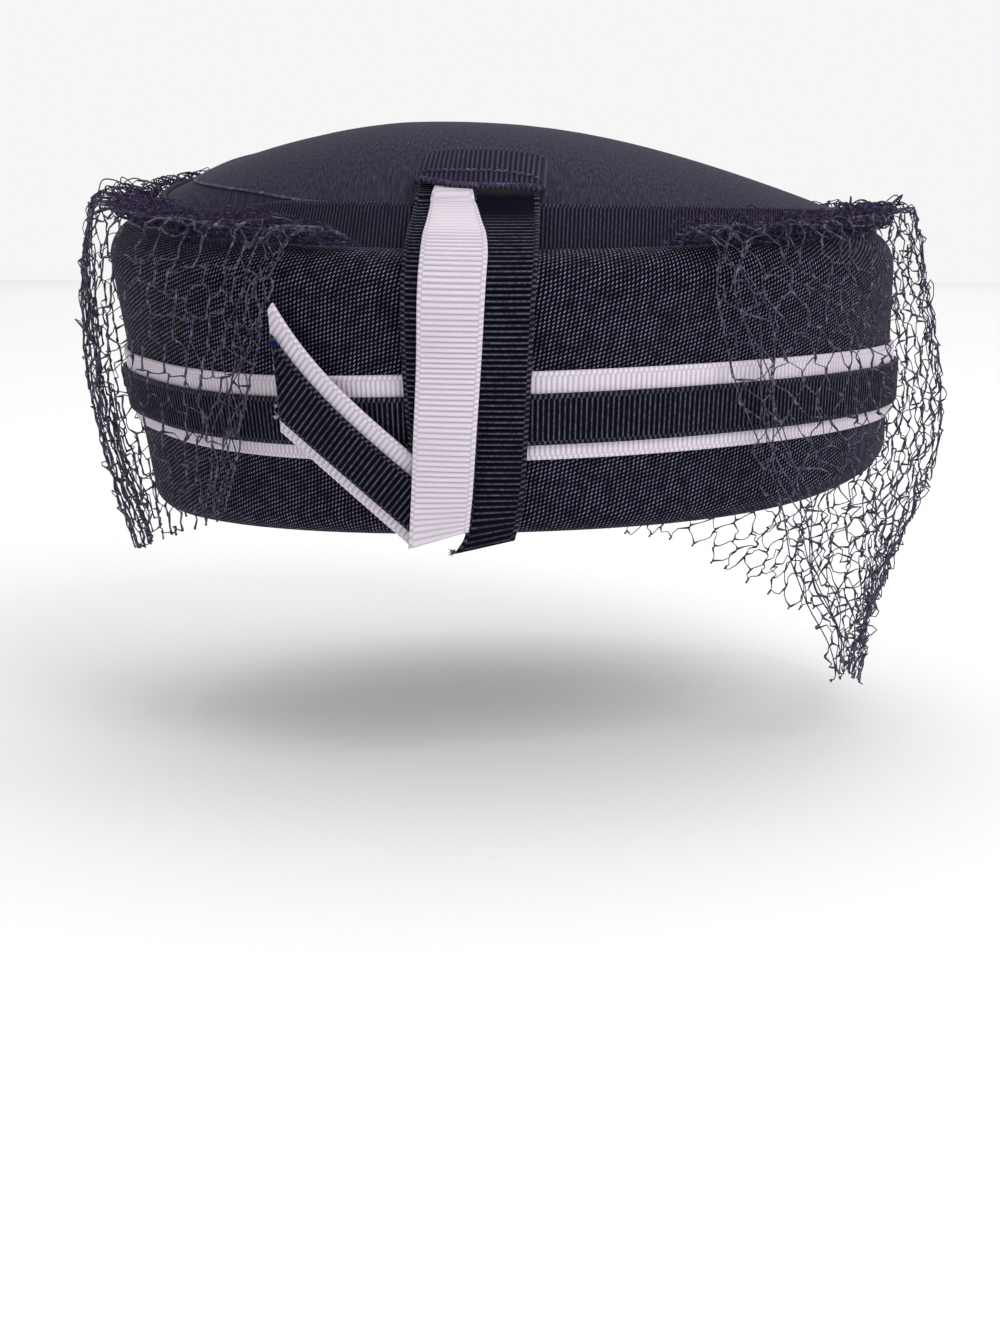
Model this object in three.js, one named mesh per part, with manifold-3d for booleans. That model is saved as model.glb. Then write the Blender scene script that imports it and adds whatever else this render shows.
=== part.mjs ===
// A navy pillbox hat with grosgrain trim and a net veil, built up from separate cloth pieces.
// Millimetres. +Z is up and the front of the hat faces -Y. The origin is the centre of the head opening.
// An azimuth is 0 at the front, 90 at +X, 180 at the back and 270 at -X.
import * as THREE from "three";
import { mergeVertices } from "three/addons/utils/BufferGeometryUtils.js";
import Module from "manifold-3d";

const wasm = await Module();
wasm.setup();

// Driving dimensions of the cuff, the upright outer wall of the hat.
const cuffHalfWidth = 104;
const cuffHalfLength = 108;
const cuffHeight = 66;
const cuffThickness = 3;
const cuffTaper = 10; // how far the rim draws in at its narrowest
const cuffBackRise = 15; // how much higher the top edge is behind the wearer's ear than in front
const rimRise = 8; // how far the rim lifts over the wearer's left ear
const shoulderRadius = 10;
const rimRadius = 7;

// The crown, a shallow cap of gabardine that stands inside the cuff.
const crownHalfWidth = 85.3;
const crownHalfLength = 87;
const crownShift = 4; // the crown sits towards +X
const crownEdgeHeight = 75.5;
const crownBackRise = 15;
const crownHeight = 96.9;
const crownThickness = 2;
const slopeStart = 4; // how far below the cuff's top its sloping side starts
const crownFootDepth = 10; // and how far its foot reaches below that
const crownSideBulge = 3.6;
const crownPeak = { x: -20, y: 8 };

// Ribbons.
const clearance = 0.3;
const ribbonThickness = 1;
const stripeHeight = 28.5; // middle of the stripe above the rim
const stripeTilt = 3;
const whiteStripeWidth = 20.5;
const navyStripeWidth = 11.9;
const navyStripeDrop = 0.6; // it lies a little below the middle of the white one
const leftLegWidth = 15.9;
const rightLegWidth = 12.7;
const whiteRibbonWidth = 15.3;
const ornamentHalfWidth = 15.3;
const leftLegFoot = 2; // heights of the uprights' feet above the rim in front
const rightLegFoot = -0.4;
const whiteRibbonFoot = 0.6;
const ornamentFootDrop = 3.1; // how far a slanted foot hangs at its low corner

// The keeper, the short cross ribbon at the top of the ornament.
const keeperReach = 15.2;
const keeperShift = 0.5;
const keeperSlant = 1.5; // how far its -X end slants inwards towards its upper edge
const keeperLoft = 6.4;

// The tail, a striped ribbon end that slants up from the foot of the ornament.
const tailWidth = 18;
const tailBorder = 3; // white that shows below its navy ribbon
const tailNavyWidth = 11;
const tailAngle = 39.9; // degrees above the horizontal
const tailReach = 45.6; // how far its cut end lies from the middle of the front
const tailFlare = 0.28; // how much wider it spreads at its cut end
const tailFootShare = 0.97; // how wide it is at its foot, as a share of its width
const tailFootLean = 1.7; // how far its foot end leans towards +X
const tailFoot = { x: -14.2, z: -2 }; // its lowest corner

// The net veil and the gathered roll that it hangs from.
const veilThickness = 1.4;
const veilLength = 122;
const veilFlare = 16;
const veilStrand = 3.4; // width of a bar between two gaps
const veilFoldDepth = 2.4;
const veilFolds = 7;
const veilBulgeFall = 0.45; // where its bulge and its waist lie, as shares of the way to its hem
const veilWaistFall = 0.75;
const veilColumns = 24;
const veilHalfRows = 5;
const rollHalfWidth = 5;
const rollHalfHeight = 2.2;
const rollInset = 5.9;
const veilFrontRight = 28; // azimuths where the veil's two front edges start
const veilFrontLeft = 343;
const veilSweepRight = 34; // and how many degrees they draw back on the way down
const veilSweepLeft = 19;
const veilSweepPower = 2.6; // how late the right one does so: 1 is evenly, more is nearer the hem

const aroundSteps = 60;

// The hat is not quite even. Each row is a section at an azimuth, as shares of the sizes that a column
// follows: rimInset of cuffTaper, rimLift of rimRise and topLift of cuffBackRise.
const cuffSections = [
  { azimuth: 0, rimInset: 0.65, rimLift: 0, topLift: 0 },
  { azimuth: 45, rimInset: 0.3, rimLift: 0.32, topLift: 0.08 },
  { azimuth: 90, rimInset: 0.1, rimLift: 1, topLift: 0.25 },
  { azimuth: 135, rimInset: 0.3, rimLift: 0.6, topLift: 0.35 },
  { azimuth: 180, rimInset: 0.6, rimLift: 0.1, topLift: 0.8 },
  { azimuth: 225, rimInset: 0.9, rimLift: -0.2, topLift: 1 },
  { azimuth: 270, rimInset: 1, rimLift: -0.46, topLift: 0.55 },
  { azimuth: 315, rimInset: 0.9, rimLift: -0.28, topLift: 0.15 },
];

// The stripe's middle at an azimuth above stripeHeight, as a share of stripeTilt, and how much of its width
// it keeps where it is eased round the sides and the back.
const stripeSections = [
  { azimuth: 0, lift: -0.1, width: 1 },
  { azimuth: 45, lift: 0.62, width: 0.97 },
  { azimuth: 90, lift: 0.8, width: 0.9 },
  { azimuth: 180, lift: 0.3, width: 0.9 },
  { azimuth: 270, lift: 0.45, width: 0.9 },
  { azimuth: 300, lift: 0.1, width: 0.9 },
  { azimuth: 315, lift: -0.35, width: 0.93 },
  { azimuth: 332, lift: -0.5, width: 0.95 },
];

// The crown. edgeLift is a share of crownBackRise, sideBulge of crownSideBulge, bandTop of the way up the
// crown's side, and domePower is how steeply the crown slopes at its edge. The band follows the crown's edge
// in front, and where the crown's side is taller it keeps low and leaves the side bare.
const crownSections = [
  { azimuth: 0, edgeLift: 0, sideBulge: 0, bandTop: 1.03, domePower: 3.4 },
  { azimuth: 45, edgeLift: -0.08, sideBulge: 0, bandTop: 1.05, domePower: 2.6 },
  { azimuth: 90, edgeLift: -0.13, sideBulge: 0, bandTop: 1.04, domePower: 1.9 },
  { azimuth: 135, edgeLift: 0.2, sideBulge: 0.2, bandTop: 0.67, domePower: 2 },
  { azimuth: 180, edgeLift: 0.85, sideBulge: 0.6, bandTop: 0.52, domePower: 2 },
  { azimuth: 225, edgeLift: 1.12, sideBulge: 1, bandTop: 0.47, domePower: 2 },
  { azimuth: 247, edgeLift: 0.86, sideBulge: 1, bandTop: 0.5, domePower: 2 },
  { azimuth: 270, edgeLift: 0.5, sideBulge: 1, bandTop: 0.56, domePower: 1.9 },
  { azimuth: 300, edgeLift: 0.32, sideBulge: 0.5, bandTop: 0.53, domePower: 2.2 },
  { azimuth: 315, edgeLift: 0.22, sideBulge: 0.2, bandTop: 0.64, domePower: 2.5 },
  { azimuth: 330, edgeLift: 0.06, sideBulge: 0, bandTop: 0.96, domePower: 3 },
];

// The upright ribbons' tops lie under the keeper. A row is a cut across a ribbon at a share of its length
// from its foot: left and right are its edges from the middle of the front, as shares of ornamentHalfWidth,
// and the drops are how far they hang, of ornamentFootDrop.
const leftLegInner = leftLegWidth / ornamentHalfWidth - 1;
const leftLegCuts = [
  { along: 0, left: -0.889, right: -0.118, leftDrop: 0, rightDrop: 0 },
  { along: 0.18, left: -0.922, right: -0.052, leftDrop: 0, rightDrop: 0 },
  { along: 0.35, left: -1, right: 0, leftDrop: 0, rightDrop: 0 },
  { along: 0.72, left: -1, right: leftLegInner, leftDrop: 0, rightDrop: 0 },
  { along: 0.78, left: -0.97, right: 0.02, leftDrop: 0, rightDrop: 0 },
  { along: 0.86, left: -0.928, right: -0.11, leftDrop: 0, rightDrop: 0 },
  { along: 1, left: -0.895, right: -0.17, leftDrop: 0, rightDrop: 0 },
];
const rightLegInner = 1 - rightLegWidth / ornamentHalfWidth;
const rightLegCuts = [
  { along: 0, left: -0.255, right: 0.66, leftDrop: 1, rightDrop: -0.065 },
  { along: 0.03, left: -0.105, right: 0.712, leftDrop: 0.77, rightDrop: -0.065 },
  { along: 0.07, left: -0.039, right: 0.758, leftDrop: 0.19, rightDrop: 0 },
  { along: 0.15, left: 0.007, right: 0.83, leftDrop: 0, rightDrop: 0 },
  { along: 0.6, left: rightLegInner, right: 1, leftDrop: 0, rightDrop: 0 },
  { along: 0.72, left: rightLegInner, right: 1, leftDrop: 0, rightDrop: 0 },
  { along: 0.78, left: 0.05, right: 0.99, leftDrop: 0, rightDrop: 0 },
  { along: 0.86, left: -0.08, right: 0.97, leftDrop: 0, rightDrop: 0 },
  { along: 1, left: -0.14, right: 0.935, leftDrop: 0, rightDrop: 0 },
];
const whiteRibbonShare = whiteRibbonWidth / ornamentHalfWidth;
const whiteRibbonCuts = [
  { along: 0, left: -0.928, right: -0.02, leftDrop: 0.84, rightDrop: -0.645 },
  { along: 0.04, left: -0.895, right: 0.007, leftDrop: 0.26, rightDrop: -0.26 },
  { along: 0.12, left: -0.856, right: 0.059, leftDrop: 0, rightDrop: 0 },
  { along: 0.36, left: -0.778, right: 0.17, leftDrop: 0, rightDrop: 0 },
  { along: 0.62, left: 0.268 - whiteRibbonShare, right: 0.268, leftDrop: 0, rightDrop: 0 },
  { along: 0.7, left: 0.222 - whiteRibbonShare * 0.95, right: 0.222, leftDrop: 0, rightDrop: 0 },
  { along: 0.76, left: -0.699, right: 0.124, leftDrop: 0, rightDrop: 0 },
  { along: 0.83, left: -0.667, right: 0.013, leftDrop: 0, rightDrop: 0 },
  { along: 0.88, left: -0.641, right: -0.072, leftDrop: 0, rightDrop: 0 },
  { along: 1, left: -0.627, right: -0.105, leftDrop: 0, rightDrop: 0 },
];

// How the uprights' line passes the hat's edges. The lofts stand off the shoulder at an angle and off the
// crown at a share of the way from its peak, and are in ribbon thicknesses. Out and up are from the crown's
// edge, as shares of the room that the band takes.
const overShoulder = [
  { angle: 0, loft: 2.03 },
  { angle: 42, loft: 1.2 },
];
const overBand = [
  { out: 1.9, up: -0.3 },
  { out: 1.025, up: 1.01 },
];
const overCrown = [
  { share: 0.95, loft: 0.9 },
  { share: 0.87, loft: 0.7 },
];

// The keeper from its end at -X to its end at +X. low and high are its edges on the crown, as shares of the
// way from the peak, and lowLoft and highLoft are how far they stand off it, as shares of keeperLoft.
const keeperCuts = [
  { across: -1, low: 0.962, high: 0.862, lowLoft: 0.34, highLoft: 0.38 },
  { across: -0.92, low: 0.965, high: 0.862, lowLoft: 0.55, highLoft: 0.62 },
  { across: -0.7, low: 0.977, high: 0.866, lowLoft: 0.62, highLoft: 0.78 },
  { across: -0.35, low: 0.99, high: 0.874, lowLoft: 0.67, highLoft: 0.91 },
  { across: 0, low: 0.993, high: 0.878, lowLoft: 0.67, highLoft: 0.95 },
  { across: 0.35, low: 0.992, high: 0.877, lowLoft: 0.67, highLoft: 0.92 },
  { across: 0.7, low: 0.991, high: 0.872, lowLoft: 0.64, highLoft: 0.8 },
  { across: 0.94, low: 0.991, high: 0.868, lowLoft: 0.58, highLoft: 0.62 },
  { across: 1, low: 0.992, high: 0.868, lowLoft: 0.36, highLoft: 0.44 },
];

// The veil's sections from its right front edge (way 0) round the back to its left front edge (way 1).
// puff, bulge, waist and tuck are how far it stands off near its top, under half way down, at three quarters
// and at its hem, as shares of veilFlare. drop is how far it hangs, of veilLength.
const veilSections = [
  { way: 0, puff: 0.1, bulge: 0.3, waist: 0.2, tuck: -0.3, drop: 0.92 },
  { way: 0.12, puff: 0.25, bulge: 0.6, waist: 0.05, tuck: -0.45, drop: 1 },
  { way: 0.26, puff: 0.35, bulge: 0.85, waist: 0.2, tuck: -0.2, drop: 0.92 },
  { way: 0.5, puff: 0.5, bulge: 0.7, waist: 0.55, tuck: 0.2, drop: 0.8 },
  { way: 0.7, puff: 0.55, bulge: 0.5, waist: 0.2, tuck: -0.2, drop: 0.76 },
  { way: 0.85, puff: 0.5, bulge: 0.45, waist: 0.1, tuck: -0.35, drop: 0.71 },
  { way: 1, puff: 0.25, bulge: 0.25, waist: 0.1, tuck: 0, drop: 0.54 },
];

const radians = THREE.MathUtils.degToRad;
const mix = THREE.MathUtils.lerp;

// A smooth value from a table's column, at a place along the table's key.
// Period is the key's full turn where the table closes on itself, and 0 where it has two ends.
function fromTable(rows, key, column, place, period = 0) {
  const count = rows.length;
  const at = period ? ((place % period) + period) % period : place;
  let low = rows.findLastIndex((row) => row[key] <= at);
  if (!period) low = THREE.MathUtils.clamp(low, 0, count - 2);
  const row = (index) => {
    if (!period) return rows[THREE.MathUtils.clamp(index, 0, count - 1)];
    const turn = Math.floor(index / count);
    const found = rows[index - turn * count];
    return { ...found, [key]: found[key] + turn * period };
  };
  const [a, b, c, d] = [row(low - 1), row(low), row(low + 1), row(low + 2)];
  const t = THREE.MathUtils.clamp((at - b[key]) / (c[key] - b[key]), 0, 1);
  const slopeB = (c[column] - a[column]) / (c[key] - a[key] || 1);
  const slopeC = (d[column] - b[column]) / (d[key] - b[key] || 1);
  const span = c[key] - b[key];
  const t2 = t * t;
  const t3 = t2 * t;
  return (
    (2 * t3 - 3 * t2 + 1) * b[column] +
    (t3 - 2 * t2 + t) * slopeB * span +
    (3 * t2 - 2 * t3) * c[column] +
    (t3 - t2) * slopeC * span
  );
}

const cuffValue = (column, azimuth) => fromTable(cuffSections, "azimuth", column, azimuth, 360);
const stripeValue = (column, azimuth) => fromTable(stripeSections, "azimuth", column, azimuth, 360);
const crownValue = (column, azimuth) => fromTable(crownSections, "azimuth", column, azimuth, 360);
const rimInsetAt = (azimuth) => cuffTaper * cuffValue("rimInset", azimuth);
const rimHeightAt = (azimuth) => rimRise * cuffValue("rimLift", azimuth);
const topHeightAt = (azimuth) => cuffHeight + cuffBackRise * cuffValue("topLift", azimuth);
const edgeHeightAt = (azimuth) => crownEdgeHeight + crownBackRise * crownValue("edgeLift", azimuth);

// A point at an azimuth, so far inside the cuff's widest outline, at a height.
function cuffPoint(azimuth, inset, height) {
  const turn = radians(azimuth);
  return new THREE.Vector3(
    (cuffHalfWidth - inset) * Math.sin(turn),
    -(cuffHalfLength - inset) * Math.cos(turn),
    height,
  );
}

// How far inside the widest outline the cuff's straight side lies at a height, also past its ends.
function sideInset(azimuth, height) {
  const low = rimHeightAt(azimuth) + rimRadius;
  const high = topHeightAt(azimuth) - shoulderRadius;
  return (rimInsetAt(azimuth) * (high - height)) / (high - low);
}

// Evenly spaced values from a start to an end, both included.
const spread = (start, end, steps) =>
  Array.from({ length: steps + 1 }, (_, i) => mix(start, end, i / steps));

// The azimuths of one full turn, without the last, which is the first again.
const fullTurn = spread(0, 360, aroundSteps).slice(0, -1);

// The outward normal of a grid of points at each of its points.
function gridNormals(grid, around) {
  const count = grid.length;
  return grid.map((line, i) => {
    const before = around ? grid[(i + count - 1) % count] : grid[Math.max(i - 1, 0)];
    const after = around ? grid[(i + 1) % count] : grid[Math.min(i + 1, count - 1)];
    return line.map((_, j) => {
      const along = after[j].clone().sub(before[j]);
      const up = line[Math.min(j + 1, line.length - 1)].clone().sub(line[Math.max(j - 1, 0)]);
      const normal = along.cross(up);
      return normal.lengthSq() < 1e-9 ? new THREE.Vector3(0, 0, 1) : normal.normalize();
    });
  });
}

// A grid moved outwards along its normals.
function offsetGrid(grid, distance, around = false) {
  const normals = gridNormals(grid, around);
  return grid.map((line, i) =>
    line.map((point, j) => point.clone().addScaledVector(normals[i][j], distance)),
  );
}

// A closed mesh from triangles of points. Points that meet are merged, and triangles that collapse are left
// out.
function closedMesh(triangles) {
  const positions = new Float32Array(triangles.flat().flatMap((point) => point.toArray()));
  const loose = new THREE.BufferGeometry().setAttribute("position", new THREE.BufferAttribute(positions, 3));
  const merged = mergeVertices(loose, 1e-3);
  const index = merged.index.array;
  const kept = [];
  for (let i = 0; i < index.length; i += 3) {
    const [a, b, c] = index.subarray(i, i + 3);
    if (a !== b && b !== c && c !== a) kept.push(a, b, c);
  }
  merged.setIndex(kept);
  return merged;
}

// The two triangles of a quad whose corners run counterclockwise as seen from outside.
const quad = (a, b, c, d) => [
  [a, b, c],
  [a, c, d],
];

// The solid between an inner and an outer grid of points, both laid out alike.
function shellBetween(inner, outer, around = false) {
  const triangles = [];
  const lines = outer.length;
  const last = outer[0].length - 1;
  const spans = around ? lines : lines - 1;
  for (let i = 0; i < spans; i += 1) {
    const n = (i + 1) % lines;
    for (let j = 0; j < last; j += 1) {
      triangles.push(...quad(outer[i][j], outer[n][j], outer[n][j + 1], outer[i][j + 1]));
      triangles.push(...quad(inner[i][j + 1], inner[n][j + 1], inner[n][j], inner[i][j]));
    }
    triangles.push(...quad(inner[i][0], inner[n][0], outer[n][0], outer[i][0]));
    triangles.push(...quad(outer[i][last], outer[n][last], inner[n][last], inner[i][last]));
  }
  if (!around) {
    const end = lines - 1;
    for (let j = 0; j < last; j += 1) {
      triangles.push(...quad(inner[0][j], outer[0][j], outer[0][j + 1], inner[0][j + 1]));
      triangles.push(...quad(outer[end][j], inner[end][j], inner[end][j + 1], outer[end][j + 1]));
    }
  }
  return closedMesh(triangles);
}

// A layer of cloth over a grid, lying between two distances outside it.
const layerOver = (grid, from, to, around = false) =>
  shellBetween(offsetGrid(grid, from, around), offsetGrid(grid, to, around), around);

// A strip of ribbon over a grid, on top of so many other ribbons.
const ribbonOver = (grid, ribbonsBelow, around = false) => {
  const from = clearance + ribbonsBelow * (ribbonThickness + clearance);
  return layerOver(grid, from, from + ribbonThickness, around);
};

// The cuff: a wall that curls in at the rim and rolls over into a flat lip at the top.
function makeCuff() {
  const grid = fullTurn.map((azimuth) => {
    const rim = rimHeightAt(azimuth);
    const top = topHeightAt(azimuth);
    const inset = rimInsetAt(azimuth);
    const curl = spread(-90, 0, 3).map((angle) =>
      cuffPoint(
        azimuth,
        inset + rimRadius * (1 - Math.cos(radians(angle))),
        rim + rimRadius * (1 + Math.sin(radians(angle))),
      ),
    );
    const shoulder = spread(0, 90, 4).map((angle) =>
      cuffPoint(
        azimuth,
        shoulderRadius * (1 - Math.cos(radians(angle))),
        top - shoulderRadius * (1 - Math.sin(radians(angle))),
      ),
    );
    return [...curl, ...shoulder];
  });
  return shellBetween(offsetGrid(grid, -cuffThickness, true), grid, true);
}

// The crown's upper edge at an azimuth.
function crownEdge(azimuth) {
  const turn = radians(azimuth);
  return new THREE.Vector3(
    crownShift + crownHalfWidth * Math.sin(turn),
    -crownHalfLength * Math.cos(turn),
    edgeHeightAt(azimuth),
  );
}

// The crown's domed top: share is 0 at the peak and 1 at the edge.
function crownTop(azimuth, share) {
  const edge = crownEdge(azimuth);
  const power = crownValue("domePower", azimuth);
  return new THREE.Vector3(
    mix(crownPeak.x, edge.x, share),
    mix(crownPeak.y, edge.y, share),
    crownHeight - (crownHeight - edge.z) * Math.abs(share) ** power,
  );
}

// Where the crown's sloping side starts, just inside the cuff's lip, with room for the band between them.
const bandStack = ribbonThickness + 2 * clearance;
const slopeAllowance = 1.35; // a layer on the slope reaches this much further sideways than it is thick
const crownFootInset = shoulderRadius + bandStack * slopeAllowance;
const crownFoot = (azimuth, depth) => cuffPoint(azimuth, crownFootInset, topHeightAt(azimuth) - depth);
function crownSide(azimuth, share) {
  const turn = radians(azimuth);
  const bulge = crownSideBulge * crownValue("sideBulge", azimuth) * (1 - Math.abs(2 * share - 1));
  return crownFoot(azimuth, slopeStart)
    .lerp(crownEdge(azimuth), share)
    .add(new THREE.Vector3(Math.sin(turn), -Math.cos(turn), 0.6).multiplyScalar(bulge));
}

// The crown: a foot inside the cuff, a sloping side and the domed top, in one cloth shell.
function makeCrown() {
  const domeSteps = [1, 0.92, 0.82, 0.68, 0.5, 0.28, 0];
  const grid = fullTurn.map((azimuth) => [
    crownFoot(azimuth, slopeStart + crownFootDepth),
    crownSide(azimuth, 0),
    crownSide(azimuth, 0.5),
    ...domeSteps.map((share) => crownTop(azimuth, share)),
  ]);
  return shellBetween(offsetGrid(grid, -crownThickness, true), grid, true);
}

// The grosgrain band round the foot of the crown. It bends where the crown's side does.
function makeCrownBand() {
  const grid = fullTurn.map((azimuth) => {
    const top = crownValue("bandTop", azimuth);
    const bend = top > 0.5 ? 0.5 : top / 2;
    return [0, bend, top].map((share) => crownSide(azimuth, share));
  });
  return ribbonOver(grid, 0, true);
}

// A stripe right round the cuff's straight side.
function makeStripe(width, drop, ribbonsBelow) {
  const grid = fullTurn.map((azimuth) => {
    const middle = stripeHeight + stripeTilt * stripeValue("lift", azimuth) - drop;
    return [-0.5, 0.5].map((share) => {
      const height = middle + share * width * stripeValue("width", azimuth);
      return cuffPoint(azimuth, sideInset(azimuth, height), height);
    });
  });
  return ribbonOver(grid, ribbonsBelow, true);
}

// A point on the front of the cuff's straight side, so far to the side of the middle and off the cloth.
function frontPoint(x, height, off) {
  const azimuth = THREE.MathUtils.radToDeg(Math.asin(x / cuffHalfWidth));
  return cuffPoint(azimuth, sideInset(azimuth, height) - off, height);
}

// A point on the front of the crown's top, so far to the side, at a share of the way from the peak to the
// edge and so far off the cloth.
function domePoint(x, share, off) {
  const edgeX = crownPeak.x + (x - crownPeak.x) / share;
  const azimuth = THREE.MathUtils.radToDeg(Math.asin((edgeX - crownShift) / crownHalfWidth));
  const point = crownTop(azimuth, share);
  const next = crownTop(azimuth, share - 0.02);
  const slope = Math.atan2(next.z - point.z, next.y - point.y);
  return point.add(new THREE.Vector3(0, -off * Math.sin(slope), off * Math.cos(slope)));
}

// The line up the front, so far to the side of its middle, that the upright ribbons lie on: from a height
// near the rim over the shoulder and the crown band on to the crown. A ribbon is lifted over the tail at its
// foot.
const stripeStack = 2 * (ribbonThickness + clearance);
const layerStep = ribbonThickness + clearance;
const legOff = stripeStack + clearance;
const tailTop = stripeHeight - 0.25 * whiteStripeWidth;
function ornamentLine(x, foot, tailLift) {
  const azimuth = THREE.MathUtils.radToDeg(Math.asin(x / cuffHalfWidth));
  const crownAzimuth = THREE.MathUtils.radToDeg(Math.asin((x - crownShift) / crownHalfWidth));
  const shoulder = (angle, off) =>
    cuffPoint(
      azimuth,
      shoulderRadius - (shoulderRadius + off) * Math.cos(radians(angle)),
      topHeightAt(azimuth) - shoulderRadius + (shoulderRadius + off) * Math.sin(radians(angle)),
    );
  const edge = crownSide(crownAzimuth, 1);
  const points = [
    frontPoint(x, foot, legOff + tailLift),
    frontPoint(x, mix(foot, tailTop, 0.6), legOff + tailLift),
    frontPoint(x, tailTop, legOff + tailLift),
    frontPoint(x, stripeHeight + 0.5 * whiteStripeWidth, legOff),
    ...overShoulder.map(({ angle, loft }) => shoulder(angle, loft * ribbonThickness)),
    ...overBand.map(({ out, up }) => new THREE.Vector3(0, -out, up).multiplyScalar(bandStack).add(edge)),
    ...overCrown.map(({ share, loft }) => domePoint(x, share, loft * ribbonThickness)),
  ];
  const flat = points.map(({ y, z }) => new THREE.Vector3(0, y, z));
  return new THREE.CatmullRomCurve3(flat, false, "centripetal");
}

// An upright ribbon of the ornament, from a table of cuts across it, with its foot at a height, so many
// layers up. It follows the line up the front at each of its edges and between them.
function uprightRibbon(cuts, foot, tailLift, layer) {
  const grid = spread(0, 1, 2).map((across) => {
    const edge = (along, left, right) =>
      mix(fromTable(cuts, "along", left, along), fromTable(cuts, "along", right, along), across);
    const line = ornamentLine(ornamentHalfWidth * edge(0.4, "left", "right"), foot, tailLift);
    return spread(0, 1, 26).map((along) => {
      const point = line.getPointAt(along);
      point.x = ornamentHalfWidth * edge(along, "left", "right");
      point.z -= ornamentFootDrop * edge(along, "leftDrop", "rightDrop");
      return point;
    });
  });
  return layerOver(grid, layer * layerStep, layer * layerStep + ribbonThickness);
}

const makeLeftLeg = () => uprightRibbon(leftLegCuts, leftLegFoot, 0, 0);
const makeRightLeg = () => uprightRibbon(rightLegCuts, rightLegFoot, 0, 0);
const makeWhiteRibbon = () => uprightRibbon(whiteRibbonCuts, whiteRibbonFoot, 2 * layerStep, 1);

// The keeper: it arches over the tops of the upright ribbons, and its ends come down to the crown.
function makeKeeper() {
  const grid = spread(-1, 1, 16).map((across) => {
    const value = (column) => fromTable(keeperCuts, "across", column, across);
    return spread(0, 1, 4).map((along) => {
      const x = across * keeperReach + keeperShift + keeperSlant * along * Math.max(0, -across);
      const share = mix(value("low"), value("high"), along);
      const loft = mix(value("lowLoft"), value("highLoft"), Math.sin((along * Math.PI) / 2));
      return domePoint(x, share, loft * keeperLoft);
    });
  });
  return layerOver(grid, 0, ribbonThickness);
}

// The tail's cloth, between two distances from its lower edge, so many layers above the left leg.
function makeTail(low, high, layer, reach) {
  const rise = Math.tan(radians(tailAngle));
  const square = 1 / Math.cos(radians(tailAngle));
  const off = legOff + (1 + layer) * layerStep;
  const grid = spread(0, 1, 14).map((along) => {
    const widen = tailFootShare + tailFlare * (1 - along) ** 3;
    return spread(0, 1, 2).map((across) => {
      const edge = mix(low, high * widen, across);
      const x = mix(-reach, tailFoot.x + (tailFootLean * edge) / tailWidth, along);
      const height = tailFoot.z + (tailFoot.x - x) * rise + edge * square;
      return frontPoint(x, height, off);
    });
  });
  return layerOver(grid, 0, ribbonThickness);
}

// A point of the veil's cloth: way runs round from its right front edge, fall from its top to its hem.
function veilPoint(way, fall) {
  const start = veilFrontRight + veilSweepRight * fall ** veilSweepPower;
  const end = veilFrontLeft - veilSweepLeft * fall;
  const azimuth = mix(start, end, way);
  const value = (column) => fromTable(veilSections, "way", column, way);
  const top = topHeightAt(azimuth);
  const hem = top - veilLength * value("drop");
  const profile = new THREE.CatmullRomCurve3(
    [
      new THREE.Vector3(-rollInset, 0, top + clearance + rollHalfHeight),
      new THREE.Vector3(veilFlare * value("puff") * 0.6, 0, top + rollHalfHeight * 2),
      new THREE.Vector3(veilFlare * value("puff"), 0, top - shoulderRadius * 0.6),
      new THREE.Vector3(veilFlare * value("bulge"), 0, mix(top, hem, veilBulgeFall)),
      new THREE.Vector3(veilFlare * value("waist"), 0, mix(top, hem, veilWaistFall)),
      new THREE.Vector3(veilFlare * value("tuck"), 0, hem),
    ],
    false,
    "centripetal",
  );
  const section = profile.getPoint(fall);
  const fold = veilFoldDepth * Math.sin(2 * Math.PI * veilFolds * way) * Math.min(1, fall * 3);
  return cuffPoint(azimuth, -section.x - fold, section.z);
}

// The outward normal of the veil's cloth.
function veilNormal(way, fall) {
  const step = 0.01;
  const along = veilPoint(way + step, fall).sub(veilPoint(way - step, fall));
  const down = veilPoint(way, Math.min(1, fall + step)).sub(veilPoint(way, Math.max(0, fall - step)));
  return down.cross(along).normalize();
}

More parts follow.
